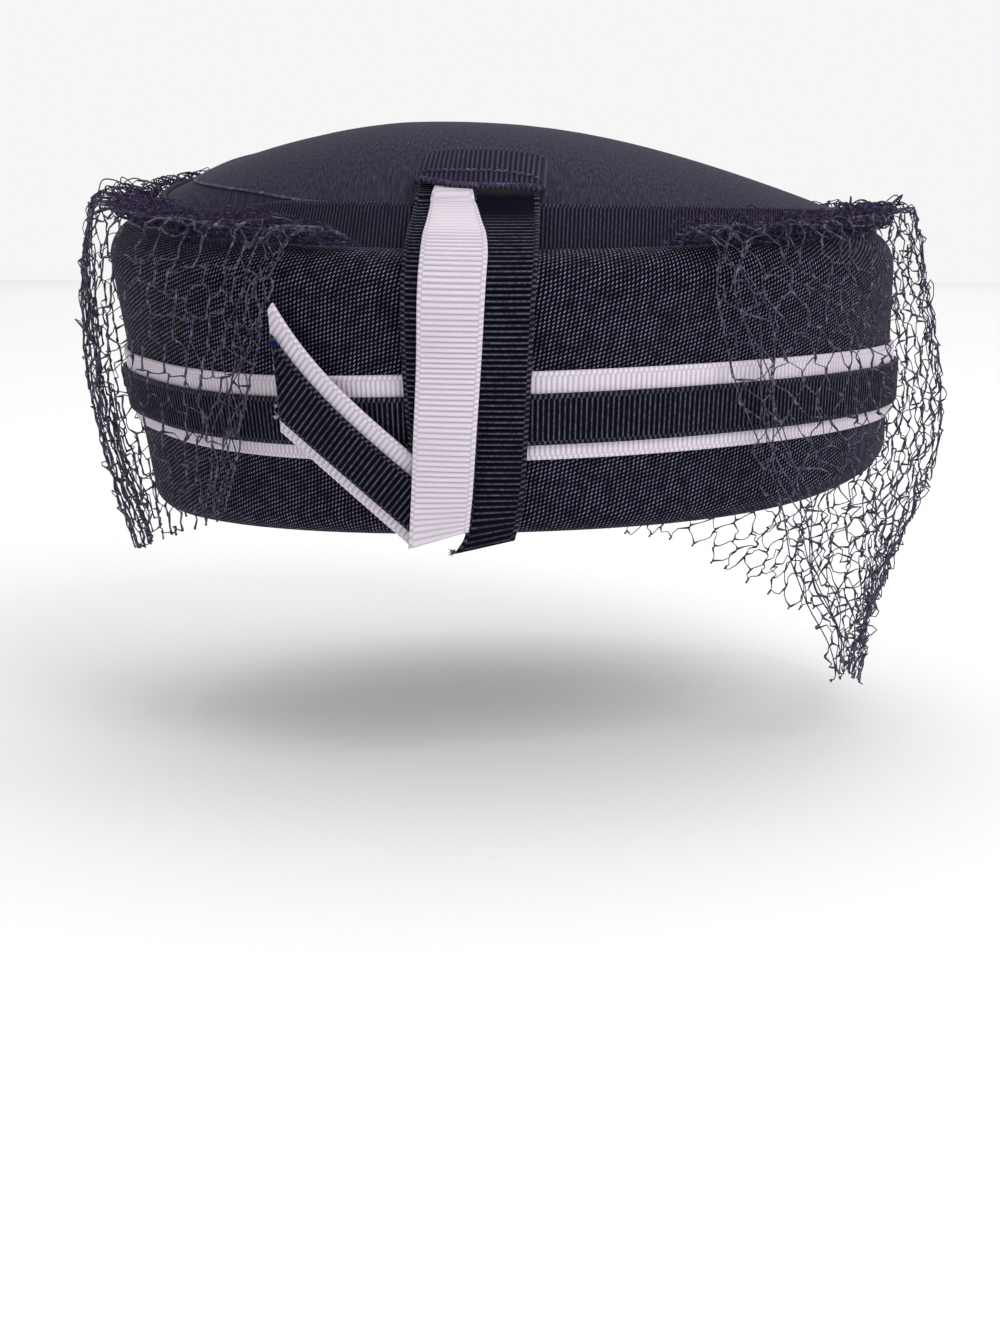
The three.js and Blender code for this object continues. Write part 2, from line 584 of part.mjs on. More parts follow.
// The net: diamonds of cloth, each with a gap cut through it, that share their edges.
function makeNet() {
  const front = new Map();
  const triangles = [];
  const edges = new Map();
  const corner = (column, row) => {
    const key = `${column},${row}`;
    if (!front.has(key)) {
      const way = THREE.MathUtils.clamp(column / (2 * veilColumns), 0, 1);
      const fall = row / veilHalfRows;
      const middle = veilPoint(way, fall);
      const half = veilNormal(way, fall).multiplyScalar(veilThickness / 2);
      front.set(key, { outer: middle.clone().add(half), inner: middle.clone().sub(half), key });
    }
    return front.get(key);
  };
  const shrink = (points, centre, share) => points.map((point) => point.clone().lerp(centre, share));
  const meanOf = (points) =>
    points.reduce((sum, point) => sum.add(point), new THREE.Vector3()).divideScalar(points.length);
  for (let row = 1; row < veilHalfRows; row += 1) {
    for (let column = 1 + ((row + 1) % 2); column < 2 * veilColumns; column += 2) {
      const corners = [
        corner(column, row - 1),
        corner(column - 1, row),
        corner(column, row + 1),
        corner(column + 1, row),
      ];
      const outer = corners.map((c) => c.outer);
      const inner = corners.map((c) => c.inner);
      const size = outer[0].distanceTo(outer[2]) + outer[1].distanceTo(outer[3]);
      const share = Math.min(0.5, (2 * veilStrand) / size + 0.04);
      const outerGap = shrink(outer, meanOf(outer), share);
      const innerGap = shrink(inner, meanOf(inner), share);
      for (let i = 0; i < 4; i += 1) {
        const n = (i + 1) % 4;
        triangles.push(...quad(outer[i], outer[n], outerGap[n], outerGap[i]));
        triangles.push(...quad(inner[n], inner[i], innerGap[i], innerGap[n]));
        triangles.push(...quad(outerGap[i], outerGap[n], innerGap[n], innerGap[i]));
        const name = [corners[i].key, corners[n].key].sort().join(" ");
        edges.set(name, edges.has(name) ? null : [corners[i], corners[n]]);
      }
    }
  }
  for (const edge of edges.values()) {
    if (!edge) continue;
    triangles.push(...quad(edge[1].outer, edge[0].outer, edge[0].inner, edge[1].inner));
  }
  return closedMesh(triangles);
}

// The gathered roll along the cuff's shoulder, thin at its two ends.
function makeRoll() {
  const sides = 8;
  const steps = 48;
  const rings = spread(0, 1, steps).map((way) => {
    const azimuth = mix(veilFrontRight - 2, veilFrontLeft + 2, way);
    const swell = 0.45 + 0.55 * Math.min(1, Math.min(way, 1 - way) * 9);
    const bumps = 1 + 0.1 * Math.sin(way * 2 * Math.PI * veilFolds * 2);
    const width = rollHalfWidth * swell * bumps;
    const height = rollHalfHeight * swell;
    const middle = topHeightAt(azimuth) + clearance + height;
    return spread(0, 360, sides)
      .slice(0, -1)
      .map((angle) =>
        cuffPoint(
          azimuth,
          rollInset - width * Math.cos(radians(angle)),
          middle + height * Math.sin(radians(angle)),
        ),
      );
  });
  const triangles = [];
  for (let i = 0; i < steps; i += 1) {
    for (let j = 0; j < sides; j += 1) {
      const n = (j + 1) % sides;
      triangles.push(...quad(rings[i][j], rings[i + 1][j], rings[i + 1][n], rings[i][n]));
    }
  }
  for (let j = 1; j < sides - 1; j += 1) {
    triangles.push([rings[0][0], rings[0][j], rings[0][j + 1]]);
    triangles.push([rings[steps][0], rings[steps][j + 1], rings[steps][j]]);
  }
  return closedMesh(triangles);
}

// A geometry as a manifold solid, and back.
const toSolid = (geometry) =>
  new wasm.Manifold(
    new wasm.Mesh({
      numProp: 3,
      vertProperties: geometry.attributes.position.array,
      triVerts: new Uint32Array(geometry.index.array),
    }),
  );
function fromSolid(solid) {
  const mesh = solid.getMesh();
  const geometry = new THREE.BufferGeometry();
  geometry.setAttribute("position", new THREE.BufferAttribute(Float32Array.from(mesh.vertProperties), 3));
  geometry.setIndex(new THREE.BufferAttribute(Uint32Array.from(mesh.triVerts), 1));
  return geometry;
}

const makeVeil = () => fromSolid(toSolid(makeNet()).add(toSolid(makeRoll())));

// Each cloth's colour and roughness.
const cloths = {
  panama: { color: 0x15151f, roughness: 0.85 },
  gabardine: { color: 0x2b2a38, roughness: 0.9 },
  navyGrosgrain: { color: 0x161824, roughness: 0.7 },
  whiteGrosgrain: { color: 0xe6dfe4, roughness: 0.65 },
  net: { color: 0x1c1a26, roughness: 0.8 },
};

const hat = new THREE.Group();
function addPiece(name, geometry, cloth) {
  const mesh = new THREE.Mesh(geometry, new THREE.MeshStandardMaterial({ ...cloth, metalness: 0 }));
  mesh.name = name;
  hat.add(mesh);
}

addPiece("cuff", makeCuff(), cloths.panama);
addPiece("crown", makeCrown(), cloths.gabardine);
addPiece("crown_band", makeCrownBand(), cloths.navyGrosgrain);
addPiece("white_stripe", makeStripe(whiteStripeWidth, 0, 0), cloths.whiteGrosgrain);
addPiece("navy_stripe", makeStripe(navyStripeWidth, navyStripeDrop, 1), cloths.navyGrosgrain);
addPiece("left_leg", makeLeftLeg(), cloths.navyGrosgrain);
addPiece("right_leg", makeRightLeg(), cloths.navyGrosgrain);
addPiece("white_ribbon", makeWhiteRibbon(), cloths.whiteGrosgrain);
addPiece("keeper", makeKeeper(), cloths.navyGrosgrain);
addPiece("white_tail", makeTail(0, tailWidth, 0, tailReach), cloths.whiteGrosgrain);
addPiece(
  "navy_tail",
  makeTail(tailBorder, tailBorder + tailNavyWidth, 1, tailReach - clearance),
  cloths.navyGrosgrain,
);
addPiece("veil", makeVeil(), cloths.net);

export default hat;
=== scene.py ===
"""Dresses a navy pillbox hat: woven cloth, ribbed grosgrain trim and a knotted net veil over the CAD.

All lengths are in metres. +Z is up, the front of the hat faces -Y and the origin is the centre of the head
opening. An azimuth is 0 at the front, 90 at +X, 180 at the back and 270 at -X, in degrees.
"""

import logging
import math
from collections.abc import Callable, Sequence
from dataclasses import dataclass, field
from enum import Enum
from functools import cache

import bpy
import numpy as np
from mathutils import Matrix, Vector

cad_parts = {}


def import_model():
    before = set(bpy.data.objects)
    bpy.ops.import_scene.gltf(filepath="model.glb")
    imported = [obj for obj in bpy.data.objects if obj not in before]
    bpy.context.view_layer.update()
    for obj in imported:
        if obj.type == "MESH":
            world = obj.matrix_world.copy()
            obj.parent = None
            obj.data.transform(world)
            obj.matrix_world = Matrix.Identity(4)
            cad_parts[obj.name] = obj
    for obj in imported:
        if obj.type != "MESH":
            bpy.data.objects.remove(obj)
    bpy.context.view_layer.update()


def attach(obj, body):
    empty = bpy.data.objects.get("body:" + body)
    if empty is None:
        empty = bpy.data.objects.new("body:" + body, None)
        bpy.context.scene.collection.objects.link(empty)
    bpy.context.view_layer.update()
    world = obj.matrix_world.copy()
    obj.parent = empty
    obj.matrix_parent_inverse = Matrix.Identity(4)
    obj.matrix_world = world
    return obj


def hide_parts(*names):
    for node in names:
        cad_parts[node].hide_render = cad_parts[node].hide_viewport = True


LOG = logging.getLogger("pillbox_hat")
BODY = "root"
MM = 0.001
TWO_PI = 2 * math.pi
UP = np.array([0.0, 0.0, 1.0])
WELD_DISTANCE = 2e-6
CLOTH_CREASE = math.radians(60)
THREAD_CREASE = math.radians(80)
WEAVE_REPEAT = 16  # the coarse weave's slanted rows close on themselves after so many threads
BEAD_SLOPE = 0.12  # how far a ribbon's edge beads lean, in ribs for each selvedge's width

Array = np.ndarray
Colour = tuple[float, float, float]
Group = bpy.types.NodeTree
Material = bpy.types.Material
Piece = bpy.types.Object
Socket = bpy.types.NodeSocket
Surface = Callable[[Array, Array], Array]
Ends = tuple[float, float]


class Slot(Enum):
    """The material slots."""

    CUFF = "cuff_cloth"
    CROWN = "crown_cloth"
    NAVY = "navy_grosgrain"
    WHITE = "white_grosgrain"
    NET = "veil_net"


def mix(first: Array, second: Array, share: Array) -> Array:
    """A value between two values, the first at share 0 and the second at 1."""
    return first + (second - first) * share


def stacked(*parts: Array) -> Array:
    """Points from their coordinates."""
    return np.stack(np.broadcast_arrays(*parts), -1)


def hermite(t: Array, low: Array, high: Array, slopes: Sequence[Array]) -> Array:
    """A cubic from one value at t 0 to another at t 1, with a slope at each."""
    return (
        low * (2 * t**3 - 3 * t**2 + 1)
        + slopes[0] * (t**3 - 2 * t**2 + t)
        + high * (3 * t**2 - 2 * t**3)
        + slopes[1] * (t**3 - t**2)
    )


@dataclass(frozen=True)
class Table:
    """A short table of sections, with smooth values between its rows.

    The first column is the key. A table with a period closes on itself.
    """

    columns: tuple[str, ...]
    rows: tuple[tuple[float, ...], ...]
    period: float = 0.0

    def value(self, column: str, place: Array | float) -> Array:
        """Smooth values of a column.

        Args:
            column: The column's name.
            place: Where along the key.

        Returns:
            The values, in the shape of place.
        """
        grid = np.array(self.rows)
        keys, values = grid[:, 0], grid[:, self.columns.index(column)]
        at = np.asarray(place, float)
        if self.period:
            at = np.mod(at, self.period)
            keys = np.concatenate([keys[-2:] - self.period, keys, keys[:2] + self.period])
            values = np.pad(values, 2, "wrap")
        else:
            keys, values = np.pad(keys, 1, "edge"), np.pad(values, 1, "edge")
        low = np.clip(np.searchsorted(keys, at, side="right") - 1, 1, len(keys) - 3)
        span = keys[low + 1] - keys[low]
        t = np.clip((at - keys[low]) / span, 0, 1)
        slopes = [
            (values[i + 1] - values[i - 1]) / (keys[i + 1] - keys[i - 1]) * span for i in (low, low + 1)
        ]
        return hermite(t, values[low], values[low + 1], slopes)

    def values(self, place: Array | float) -> list[Array]:
        """The values of each column after the key, at places along it."""
        return [self.value(column, place) for column in self.columns[1:]]


def table(columns: str, *rows: tuple[float, ...], period: float = 0.0) -> Table:
    """A table from its column names, in one string, and its rows."""
    return Table(tuple(columns.split()), rows, period)


def smooth_curve(points: Array, place: Array) -> Array:
    """A centripetal curve through points.

    Args:
        points: Its points, first axis along the curve.
        place: Where along it, 0 to 1, one value for each curve that the points hold.

    Returns:
        The points at those places.
    """
    ends = 2 * points[:1] - points[1:2], 2 * points[-1:] - points[-2:-1]
    padded = np.concatenate([ends[0], points, ends[1]])
    spans = len(points) - 1
    scaled = np.clip(place, 0, 1) * spans
    index = np.minimum(scaled.astype(int), spans - 1)
    t = (scaled - index)[..., None]
    a, b, c, d = (np.take_along_axis(padded, (index + i)[None, ..., None], 0)[0] for i in range(4))
    ab, bc, cd = (
        np.sqrt(np.linalg.norm(q - p, axis=-1, keepdims=True) + 1e-12) for p, q in ((a, b), (b, c), (c, d))
    )
    slope_b = ((b - a) / ab - (c - a) / (ab + bc) + (c - b) / bc) * bc
    slope_c = ((c - b) / bc - (d - b) / (bc + cd) + (d - c) / cd) * bc
    return hermite(t, b, c, (slope_b, slope_c))


def even_curve(points: Array, shares: Array) -> Array:
    """Points along one smooth curve, at shares of its length.

    Args:
        points: The points that it runs through.
        shares: The shares, 0 to 1.

    Returns:
        The points at those shares.
    """
    samples = 400
    line = smooth_curve(np.repeat(points[:, None], samples, 1), np.linspace(0, 1, samples))
    run = np.concatenate([[0], np.cumsum(np.linalg.norm(np.diff(line, axis=0), axis=1))])
    return np.stack([np.interp(shares * run[-1], run, line[:, i]) for i in range(line.shape[1])], -1)


def grid_normals(grid: Array, around: bool) -> Array:
    """The outward normals of a grid of points.

    Args:
        grid: The points, along by across.
        around: Whether the grid closes on itself along.

    Returns:
        A unit normal for each point.
    """
    if around:
        padded = np.concatenate([grid[-2:-1], grid, grid[1:2]])
        along = padded[2:] - padded[:-2]
    else:
        along = np.gradient(grid, axis=0)
    normal = np.cross(along, np.gradient(grid, axis=1))
    size, least = np.linalg.norm(normal, axis=-1, keepdims=True), 1e-14
    return np.where(size > least, normal / np.maximum(size, least), UP)


CUFF_SECTIONS = table(
    "azimuth rim_inset rim_lift top_lift",
    (0, 0.65, 0, 0),
    (45, 0.3, 0.32, 0.08),
    (90, 0.1, 1, 0.25),
    (135, 0.3, 0.6, 0.35),
    (180, 0.6, 0.1, 0.8),
    (225, 0.9, -0.2, 1),
    (270, 1, -0.46, 0.55),
    (315, 0.9, -0.28, 0.15),
    period=360,
)
STRIPE_SECTIONS = table(
    "azimuth lift width",
    (0, -0.1, 1),
    (45, 0.62, 0.97),
    (90, 0.8, 0.9),
    (180, 0.3, 0.9),
    (270, 0.45, 0.9),
    (300, 0.1, 0.9),
    (315, -0.35, 0.93),
    (332, -0.5, 0.95),
    period=360,
)
CROWN_SECTIONS = table(
    "azimuth edge_lift side_bulge band_top dome_power",
    (0, 0, 0, 1.03, 3.4),
    (45, -0.08, 0, 1.05, 2.6),
    (90, -0.13, 0, 1.04, 1.9),
    (135, 0.2, 0.2, 0.67, 2),
    (180, 0.85, 0.6, 0.52, 2),
    (225, 1.12, 1, 0.47, 2),
    (247, 0.86, 1, 0.5, 2),
    (270, 0.5, 1, 0.56, 1.9),
    (300, 0.32, 0.5, 0.53, 2.2),
    (315, 0.22, 0.2, 0.64, 2.5),
    (330, 0.06, 0, 0.96, 3),
    period=360,
)


@dataclass(frozen=True)
class HatForm:
    """The shape that every piece follows: the cuff's wall, the crown, and the lines laid on them."""

    cuff_half_width: float = 104 * MM
    cuff_half_length: float = 108 * MM
    cuff_height: float = 66 * MM
    cuff_thickness: float = 3 * MM
    cuff_taper: float = 10 * MM
    cuff_back_rise: float = 15 * MM
    rim_rise: float = 8 * MM
    shoulder_radius: float = 10 * MM
    rim_radius: float = 7 * MM
    crown_half_width: float = 85.3 * MM
    crown_half_length: float = 87 * MM
    crown_shift: float = 4 * MM
    crown_edge_height: float = 75.5 * MM
    crown_back_rise: float = 15 * MM
    crown_height: float = 96.9 * MM
    crown_thickness: float = 2 * MM
    slope_start: float = 4 * MM
    slope_allowance: float = 1.35
    crown_foot_depth: float = 10 * MM
    crown_side_bulge: float = 3.6 * MM
    crown_peak: tuple[float, float] = (-20 * MM, 8 * MM)
    clearance: float = 0.3 * MM
    ribbon: float = 1 * MM
    stripe_height: float = 28.5 * MM
    stripe_tilt: float = 3 * MM
    white_stripe_width: float = 20.5 * MM

    def rim_inset(self, azimuth: Array) -> Array:
        """How far the rim draws in."""
        return self.cuff_taper * CUFF_SECTIONS.value("rim_inset", azimuth)

    def rim_height(self, azimuth: Array) -> Array:
        """The rim's height."""
        return self.rim_rise * CUFF_SECTIONS.value("rim_lift", azimuth)

    def top_height(self, azimuth: Array) -> Array:
        """The height of the cuff's top edge."""
        return self.cuff_height + self.cuff_back_rise * CUFF_SECTIONS.value("top_lift", azimuth)

    def cuff_point(self, azimuth: Array, inset: Array, height: Array) -> Array:
        """A point so far inside the cuff's widest outline.

        Args:
            azimuth: Its azimuth.
            inset: How far inside.
            height: Its height.

        Returns:
            The points.
        """
        turn = np.radians(azimuth)
        x = (self.cuff_half_width - inset) * np.sin(turn)
        y = -(self.cuff_half_length - inset) * np.cos(turn)
        return stacked(x, y, height)

    def side_inset(self, azimuth: Array, height: Array) -> Array:
        """How far inside the widest outline the straight side lies at a height."""
        low = self.rim_height(azimuth) + self.rim_radius
        high = self.top_height(azimuth) - self.shoulder_radius
        return self.rim_inset(azimuth) * (high - height) / (high - low)

    def crown_edge(self, azimuth: Array) -> Array:
        """The crown's upper edge."""
        turn = np.radians(azimuth)
        x = self.crown_shift + self.crown_half_width * np.sin(turn)
        lift = self.crown_back_rise * CROWN_SECTIONS.value("edge_lift", azimuth)
        return stacked(x, -self.crown_half_length * np.cos(turn), self.crown_edge_height + lift)

    def crown_top(self, azimuth: Array, share: Array) -> Array:
        """The crown's dome, from its peak at share 0 to its edge at share 1."""
        edge = self.crown_edge(azimuth)
        power = CROWN_SECTIONS.value("dome_power", azimuth)
        x, y = (mix(self.crown_peak[i], edge[..., i], share) for i in range(2))
        return stacked(x, y, self.crown_height - (self.crown_height - edge[..., 2]) * np.abs(share) ** power)

    def crown_foot(self, azimuth: Array, depth: Array) -> Array:
        """The crown's foot inside the cuff's lip, so far below the cuff's top."""
        inset = self.shoulder_radius + (self.ribbon + 2 * self.clearance) * self.slope_allowance
        return self.cuff_point(azimuth, inset, self.top_height(azimuth) - depth)

    def crown_side(self, azimuth: Array, share: Array) -> Array:
        """The crown's sloping side, from its foot at share 0 to its edge at share 1."""
        turn = np.radians(azimuth)
        swell = 1 - np.abs(2 * share - 1)
        bulge = self.crown_side_bulge * CROWN_SECTIONS.value("side_bulge", azimuth) * swell
        foot, edge = self.crown_foot(azimuth, self.slope_start), self.crown_edge(azimuth)
        out = stacked(np.sin(turn), -np.cos(turn), 0.6)
        return mix(foot, edge, np.asarray(share)[..., None]) + out * bulge[..., None]

    def front_point(self, x: Array, height: Array, off: float) -> Array:
        """A point on the front of the straight side, so far off the cloth."""
        azimuth = np.degrees(np.arcsin(x / self.cuff_half_width))
        return self.cuff_point(azimuth, self.side_inset(azimuth, height) - off, height)

    def dome_point(self, x: Array, share: Array, off: Array) -> Array:
        """A point on the front of the dome.

        Args:
            x: How far to the side.
            share: The share of the way from the peak to the edge.
            off: How far off the cloth.

        Returns:
            The points.
        """
        edge_x = self.crown_peak[0] + (x - self.crown_peak[0]) / share
        azimuth = np.degrees(np.arcsin((edge_x - self.crown_shift) / self.crown_half_width))
        point, ahead = self.crown_top(azimuth, share), self.crown_top(azimuth, share - 0.02)
        slope = np.arctan2(ahead[..., 2] - point[..., 2], ahead[..., 1] - point[..., 1])
        return point + stacked(0.0, -off * np.sin(slope), off * np.cos(slope))


FORM = HatForm()


def activate(piece: Piece) -> None:
    """Selects one piece and nothing else."""
    bpy.ops.object.select_all(action="DESELECT")
    piece.select_set(True)
    bpy.context.view_layer.objects.active = piece


def corner_vertices(mesh: bpy.types.Mesh) -> Array:
    """The vertex at each corner of a mesh's faces."""
    corners = np.empty(len(mesh.loops), np.int32)
    mesh.loops.foreach_get("vertex_index", corners)
    return corners


def vertex_places(mesh: bpy.types.Mesh) -> Array:
    """The places of a mesh's vertices."""
    places = np.empty(len(mesh.vertices) * 3, np.float32)
    mesh.vertices.foreach_get("co", places)
    return places.reshape(-1, 3)


def cloth_grid(name: str, points: Array, uv: Array, marks: dict[str, Array] | None = None) -> Piece:
    """A cloth piece, shaped from a grid primitive.

    Args:
        name: The piece's name.
        points: Where the grid's points go, along by across.
        uv: The pattern's coordinates at those points.
        marks: Named values for the finish at those points.

    Returns:
        The piece, with its seams welded.
    """
    along, across = points.shape[:2]
    bpy.ops.object.select_all(action="DESELECT")
    bpy.ops.mesh.primitive_grid_add(x_subdivisions=along - 1, y_subdivisions=across - 1, size=1)
    piece = bpy.context.object
    piece.name = piece.data.name = name
    mesh = piece.data
    flat = vertex_places(mesh)
    column = np.rint((flat[:, 0] + 0.5) * (along - 1)).astype(int)
    row = np.rint((flat[:, 1] + 0.5) * (across - 1)).astype(int)
    mesh.vertices.foreach_set("co", points[column, row].astype(np.float32).ravel())
    flat_uv = uv[column, row][corner_vertices(mesh)]
    mesh.uv_layers[0].data.foreach_set("uv", flat_uv.astype(np.float32).ravel())
    for label, values in (marks or {}).items():
        attribute = mesh.attributes.new(label, "FLOAT", "POINT")
        attribute.data.foreach_set("value", values[column, row].astype(np.float32))
    mesh.update()
    bpy.ops.object.mode_set(mode="EDIT")
    bpy.ops.mesh.select_all(action="SELECT")
    bpy.ops.mesh.remove_doubles(threshold=WELD_DISTANCE)
    bpy.ops.mesh.fill_holes(sides=0)
    bpy.ops.object.mode_set(mode="OBJECT")
    bpy.ops.object.shade_smooth_by_angle(angle=CLOTH_CREASE)
    return piece


@dataclass
class Strand:
    """One thread's path, with its thickness along it."""

    path: Array
    thickness: Array


def thread_piece(name: str, strands: Sequence[Strand], radius: float) -> Piece:
    """Many threads as one mesh.

    Args:
        name: The piece's name.
        strands: The threads.
        radius: A thread's radius where its thickness is 1.

    Returns:
        The piece, a mesh of thin closed tubes.
    """
    curve = bpy.data.curves.new(name, "CURVE")
    curve.dimensions = "3D"
    curve.bevel_depth = radius
    curve.bevel_resolution = 0
    curve.use_fill_caps = True
    for strand in strands:
        spline = curve.splines.new("POLY")
        spline.points.add(len(strand.path) - 1)
        spline.points.foreach_set("co", np.column_stack([strand.path, np.ones(len(strand.path))]).ravel())
        spline.points.foreach_set("radius", strand.thickness)
    piece = bpy.data.objects.new(name, curve)
    bpy.context.collection.objects.link(piece)
    activate(piece)
    bpy.ops.object.convert(target="MESH")
    piece = bpy.context.object
    piece.data.name = name
    bpy.ops.object.shade_smooth_by_angle(angle=THREAD_CREASE)
    return piece


class NodeSheet:
    """A node tree, with short calls for the nodes that the finishes use."""

    def __init__(self, tree: Group) -> None:
        """Keeps the tree."""
        self.tree = tree

    def add(self, kind: str, **settings: object) -> bpy.types.Node:
        """A new node with its settings."""
        node = self.tree.nodes.new(kind)
        for name, value in settings.items():
            setattr(node, name, value)
        return node

    def join(self, source: object, target: Socket) -> None:
        """Links a socket to another, or sets a number or a colour on it."""
        if isinstance(source, bpy.types.NodeSocket):
            self.tree.links.new(source, target)
        else:
            target.default_value = (*source, 1.0) if isinstance(source, tuple) else source

    def math(self, operation: str, *values: object) -> Socket:
        """The result of a Math node on sockets or numbers."""
        node = self.add("ShaderNodeMath", operation=operation)
        for value, socket in zip(values, node.inputs):
            self.join(value, socket)
        return node.outputs[0]

    def times(self, first: object, second: object) -> Socket:
        """The product of two values."""
        return self.math("MULTIPLY", first, second)

    def scale(self, value: object, factor: object, offset: object) -> Socket:
        """A value times a factor, plus an offset."""
        return self.math("MULTIPLY_ADD", value, factor, offset)

    def wave(self, value: object) -> Socket:
        """The cosine of a value counted in whole turns."""
        return self.math("COSINE", self.times(value, TWO_PI))

    def ramp(self, value: object, low: float, high: float) -> Socket:
        """A smooth mask that is 0 at low and 1 at high."""
        node = self.add("ShaderNodeMapRange", interpolation_type="SMOOTHSTEP")
        for name, source in (("Value", value), ("From Min", low), ("From Max", high)):
            self.join(source, node.inputs[name])
        return node.outputs["Result"]

    def mix(self, factor: object, first: object, second: object, colours: bool = False) -> Socket:
        """A value between two values, or a colour between two colours."""
        node = self.add("ShaderNodeMix", data_type="RGBA" if colours else "FLOAT")
        start = 6 if colours else 2
        for value, place in ((factor, 0), (first, start), (second, start + 1)):
            self.join(value, node.inputs[place])
        return node.outputs[2 if colours else 0]

    def blend(self, factor: object, first: object, second: object) -> Socket:
        """A colour between two colours."""
        return self.mix(factor, first, second, True)

    def noise(self, vector: object, scale: float, detail: float) -> Socket:
        """A noise value around a half."""
        node = self.add("ShaderNodeTexNoise")
        for name, value in (("Vector", vector), ("Scale", scale), ("Detail", detail)):
            self.join(value, node.inputs[name])
        return node.outputs["Fac"]

    def parts(self, vector: object) -> tuple[Socket, Socket]:
        """The X and Y of a vector."""
        node = self.add("ShaderNodeSeparateXYZ")
        self.join(vector, node.inputs[0])
        return node.outputs[0], node.outputs[1]

    def vector(self, x: object, y: object) -> Socket:
        """A vector from its X and Y."""
        node = self.add("ShaderNodeCombineXYZ")
        self.join(x, node.inputs[0])
        self.join(y, node.inputs[1])
        return node.outputs[0]

    def place(self, kind: str = "Object") -> Socket:
        """The Object coordinates, or another kind of them."""
        return self.add("ShaderNodeTexCoord").outputs[kind]


class Effects:
    """The shader node groups of the woven finishes, each built once."""

    @staticmethod
    def group(name: str, inputs: Sequence[str], outputs: Sequence[str], fill: Callable) -> Group:
        """A group with a coordinate and plain values going in and plain values coming out.

        Args:
            name: The group's name.
            inputs: The names of its inputs after the coordinate.
            outputs: The names of its outputs.
            fill: Works out the outputs on the group's sheet from its inputs.

        Returns:
            The group.
        """
        if name in bpy.data.node_groups:
            return bpy.data.node_groups[name]
        tree = bpy.data.node_groups.new(name, "ShaderNodeTree")
        tree.interface.new_socket("Coordinate", in_out="INPUT", socket_type="NodeSocketVector")
        for labels, way in ((inputs, "INPUT"), (outputs, "OUTPUT")):
            for label in labels:
                tree.interface.new_socket(label, in_out=way, socket_type="NodeSocketFloat")
        sheet = NodeSheet(tree)
        given = sheet.add("NodeGroupInput").outputs
        end = sheet.add("NodeGroupOutput")
        for label, value in zip(outputs, fill(sheet, given)):
            sheet.join(value, end.inputs[label])
        return tree

    @staticmethod
    def ribs(sheet: NodeSheet, given: Sequence[Socket]) -> tuple[Socket, ...]:
        """A rib for each whole X of the coordinate, fine threads along it, and beads along the edges, with
        masks for the painted highlight on the crests and the painted shade in the valleys.
        """
        x, y = sheet.parts(given["Coordinate"])
        relief, from_edge = given["Relief"], given["From Edge"]
        wave = sheet.math("ABSOLUTE", sheet.math("SINE", sheet.times(x, math.pi)))
        # Painted highlight: a thin bright line along each rib's crest.
        crest_highlight = sheet.times(sheet.math("POWER", wave, 11.0), relief)
        # Painted shade in the valleys between the ribs.
        valley_shade = sheet.times(sheet.math("POWER", sheet.math("SUBTRACT", 1.0, wave), 1.3), relief)
        twist = sheet.math("ADD", sheet.times(y, TWO_PI * 2.6), sheet.times(x, 2.4))
        thread = sheet.scale(sheet.math("SINE", twist), 0.5, 0.5)
        bead = sheet.scale(sheet.wave(sheet.scale(from_edge, BEAD_SLOPE, x)), 0.5, 0.5)
        body = sheet.ramp(from_edge, 0.8, 1.0)
        # At the edges the painted highlight sits on the beads' tops and painted shade in the hollows between
        # them; a darker line also runs where the selvedge meets the ribs.
        seam = sheet.math("SUBTRACT", sheet.ramp(from_edge, 0.62, 0.85), sheet.ramp(from_edge, 0.95, 1.15))
        bead_shade = sheet.times(sheet.math("SUBTRACT", 1.0, bead), 0.75)
        crest_highlight = sheet.mix(body, sheet.math("POWER", bead, 2.0), crest_highlight)
        valley_shade = sheet.math("MAXIMUM", sheet.mix(body, bead_shade, valley_shade), sheet.times(seam, 0.7))
        return crest_highlight, valley_shade, thread

    @staticmethod
    def crossings(sheet: NodeSheet, given: Sequence[Socket]) -> tuple[Socket, ...]:
        """A bright crossing in each unit cell of the coordinate, in leaning rows and columns, as the weave's
        height and a mask for the crossings' painted highlight.
        """
        x, y = sheet.parts(given["Coordinate"])
        column = sheet.math("ADD", sheet.scale(y, -0.14, x), given["Wobble"])
        row = sheet.math("ADD", sheet.scale(x, -5 / WEAVE_REPEAT, y), given["Wobble"])
        total = sheet.scale(sheet.wave(column), 0.4, sheet.times(sheet.wave(row), 0.34))
        total = sheet.scale(sheet.wave(sheet.math("SUBTRACT", column, row)), 0.26, total)
        return sheet.ramp(total, -0.45, 0.9), sheet.ramp(total, 0.12, 0.85)

    @staticmethod
    def slanted_grain(sheet: NodeSheet, given: Sequence[Socket]) -> tuple[Socket, ...]:
        """Fine grain, drawn out along the cloth's warp and its twill."""
        x, y = sheet.parts(given["Coordinate"])
        grain = sheet.noise(sheet.vector(sheet.scale(y, 0.45, x), sheet.times(y, 0.4)), 1.3, 2.0)
        fleck = sheet.noise(sheet.vector(sheet.times(x, 1.2), sheet.times(y, 0.45)), 1.2, 3.0)
        return sheet.scale(grain, 0.6, sheet.times(fleck, 0.4)), fleck

    @classmethod
    def grosgrain(cls) -> Group:
        """The cross ribs of a ribbon, with the masks of their painted highlight and painted shade."""
        outputs = ("Crest Highlight", "Valley Shade", "Thread")
        return cls.group("grosgrain_ribs", ("Relief", "From Edge"), outputs, cls.ribs)

    @classmethod
    def plain_weave(cls) -> Group:
        """A coarse weave, with the mask of its painted highlight."""
        return cls.group("plain_weave", ("Wobble",), ("Height", "Crossing Highlight"), cls.crossings)

    @classmethod
    def twill(cls) -> Group:
        """A fine twill."""
        return cls.group("twill_lines", (), ("Height", "Fleck"), cls.slanted_grain)


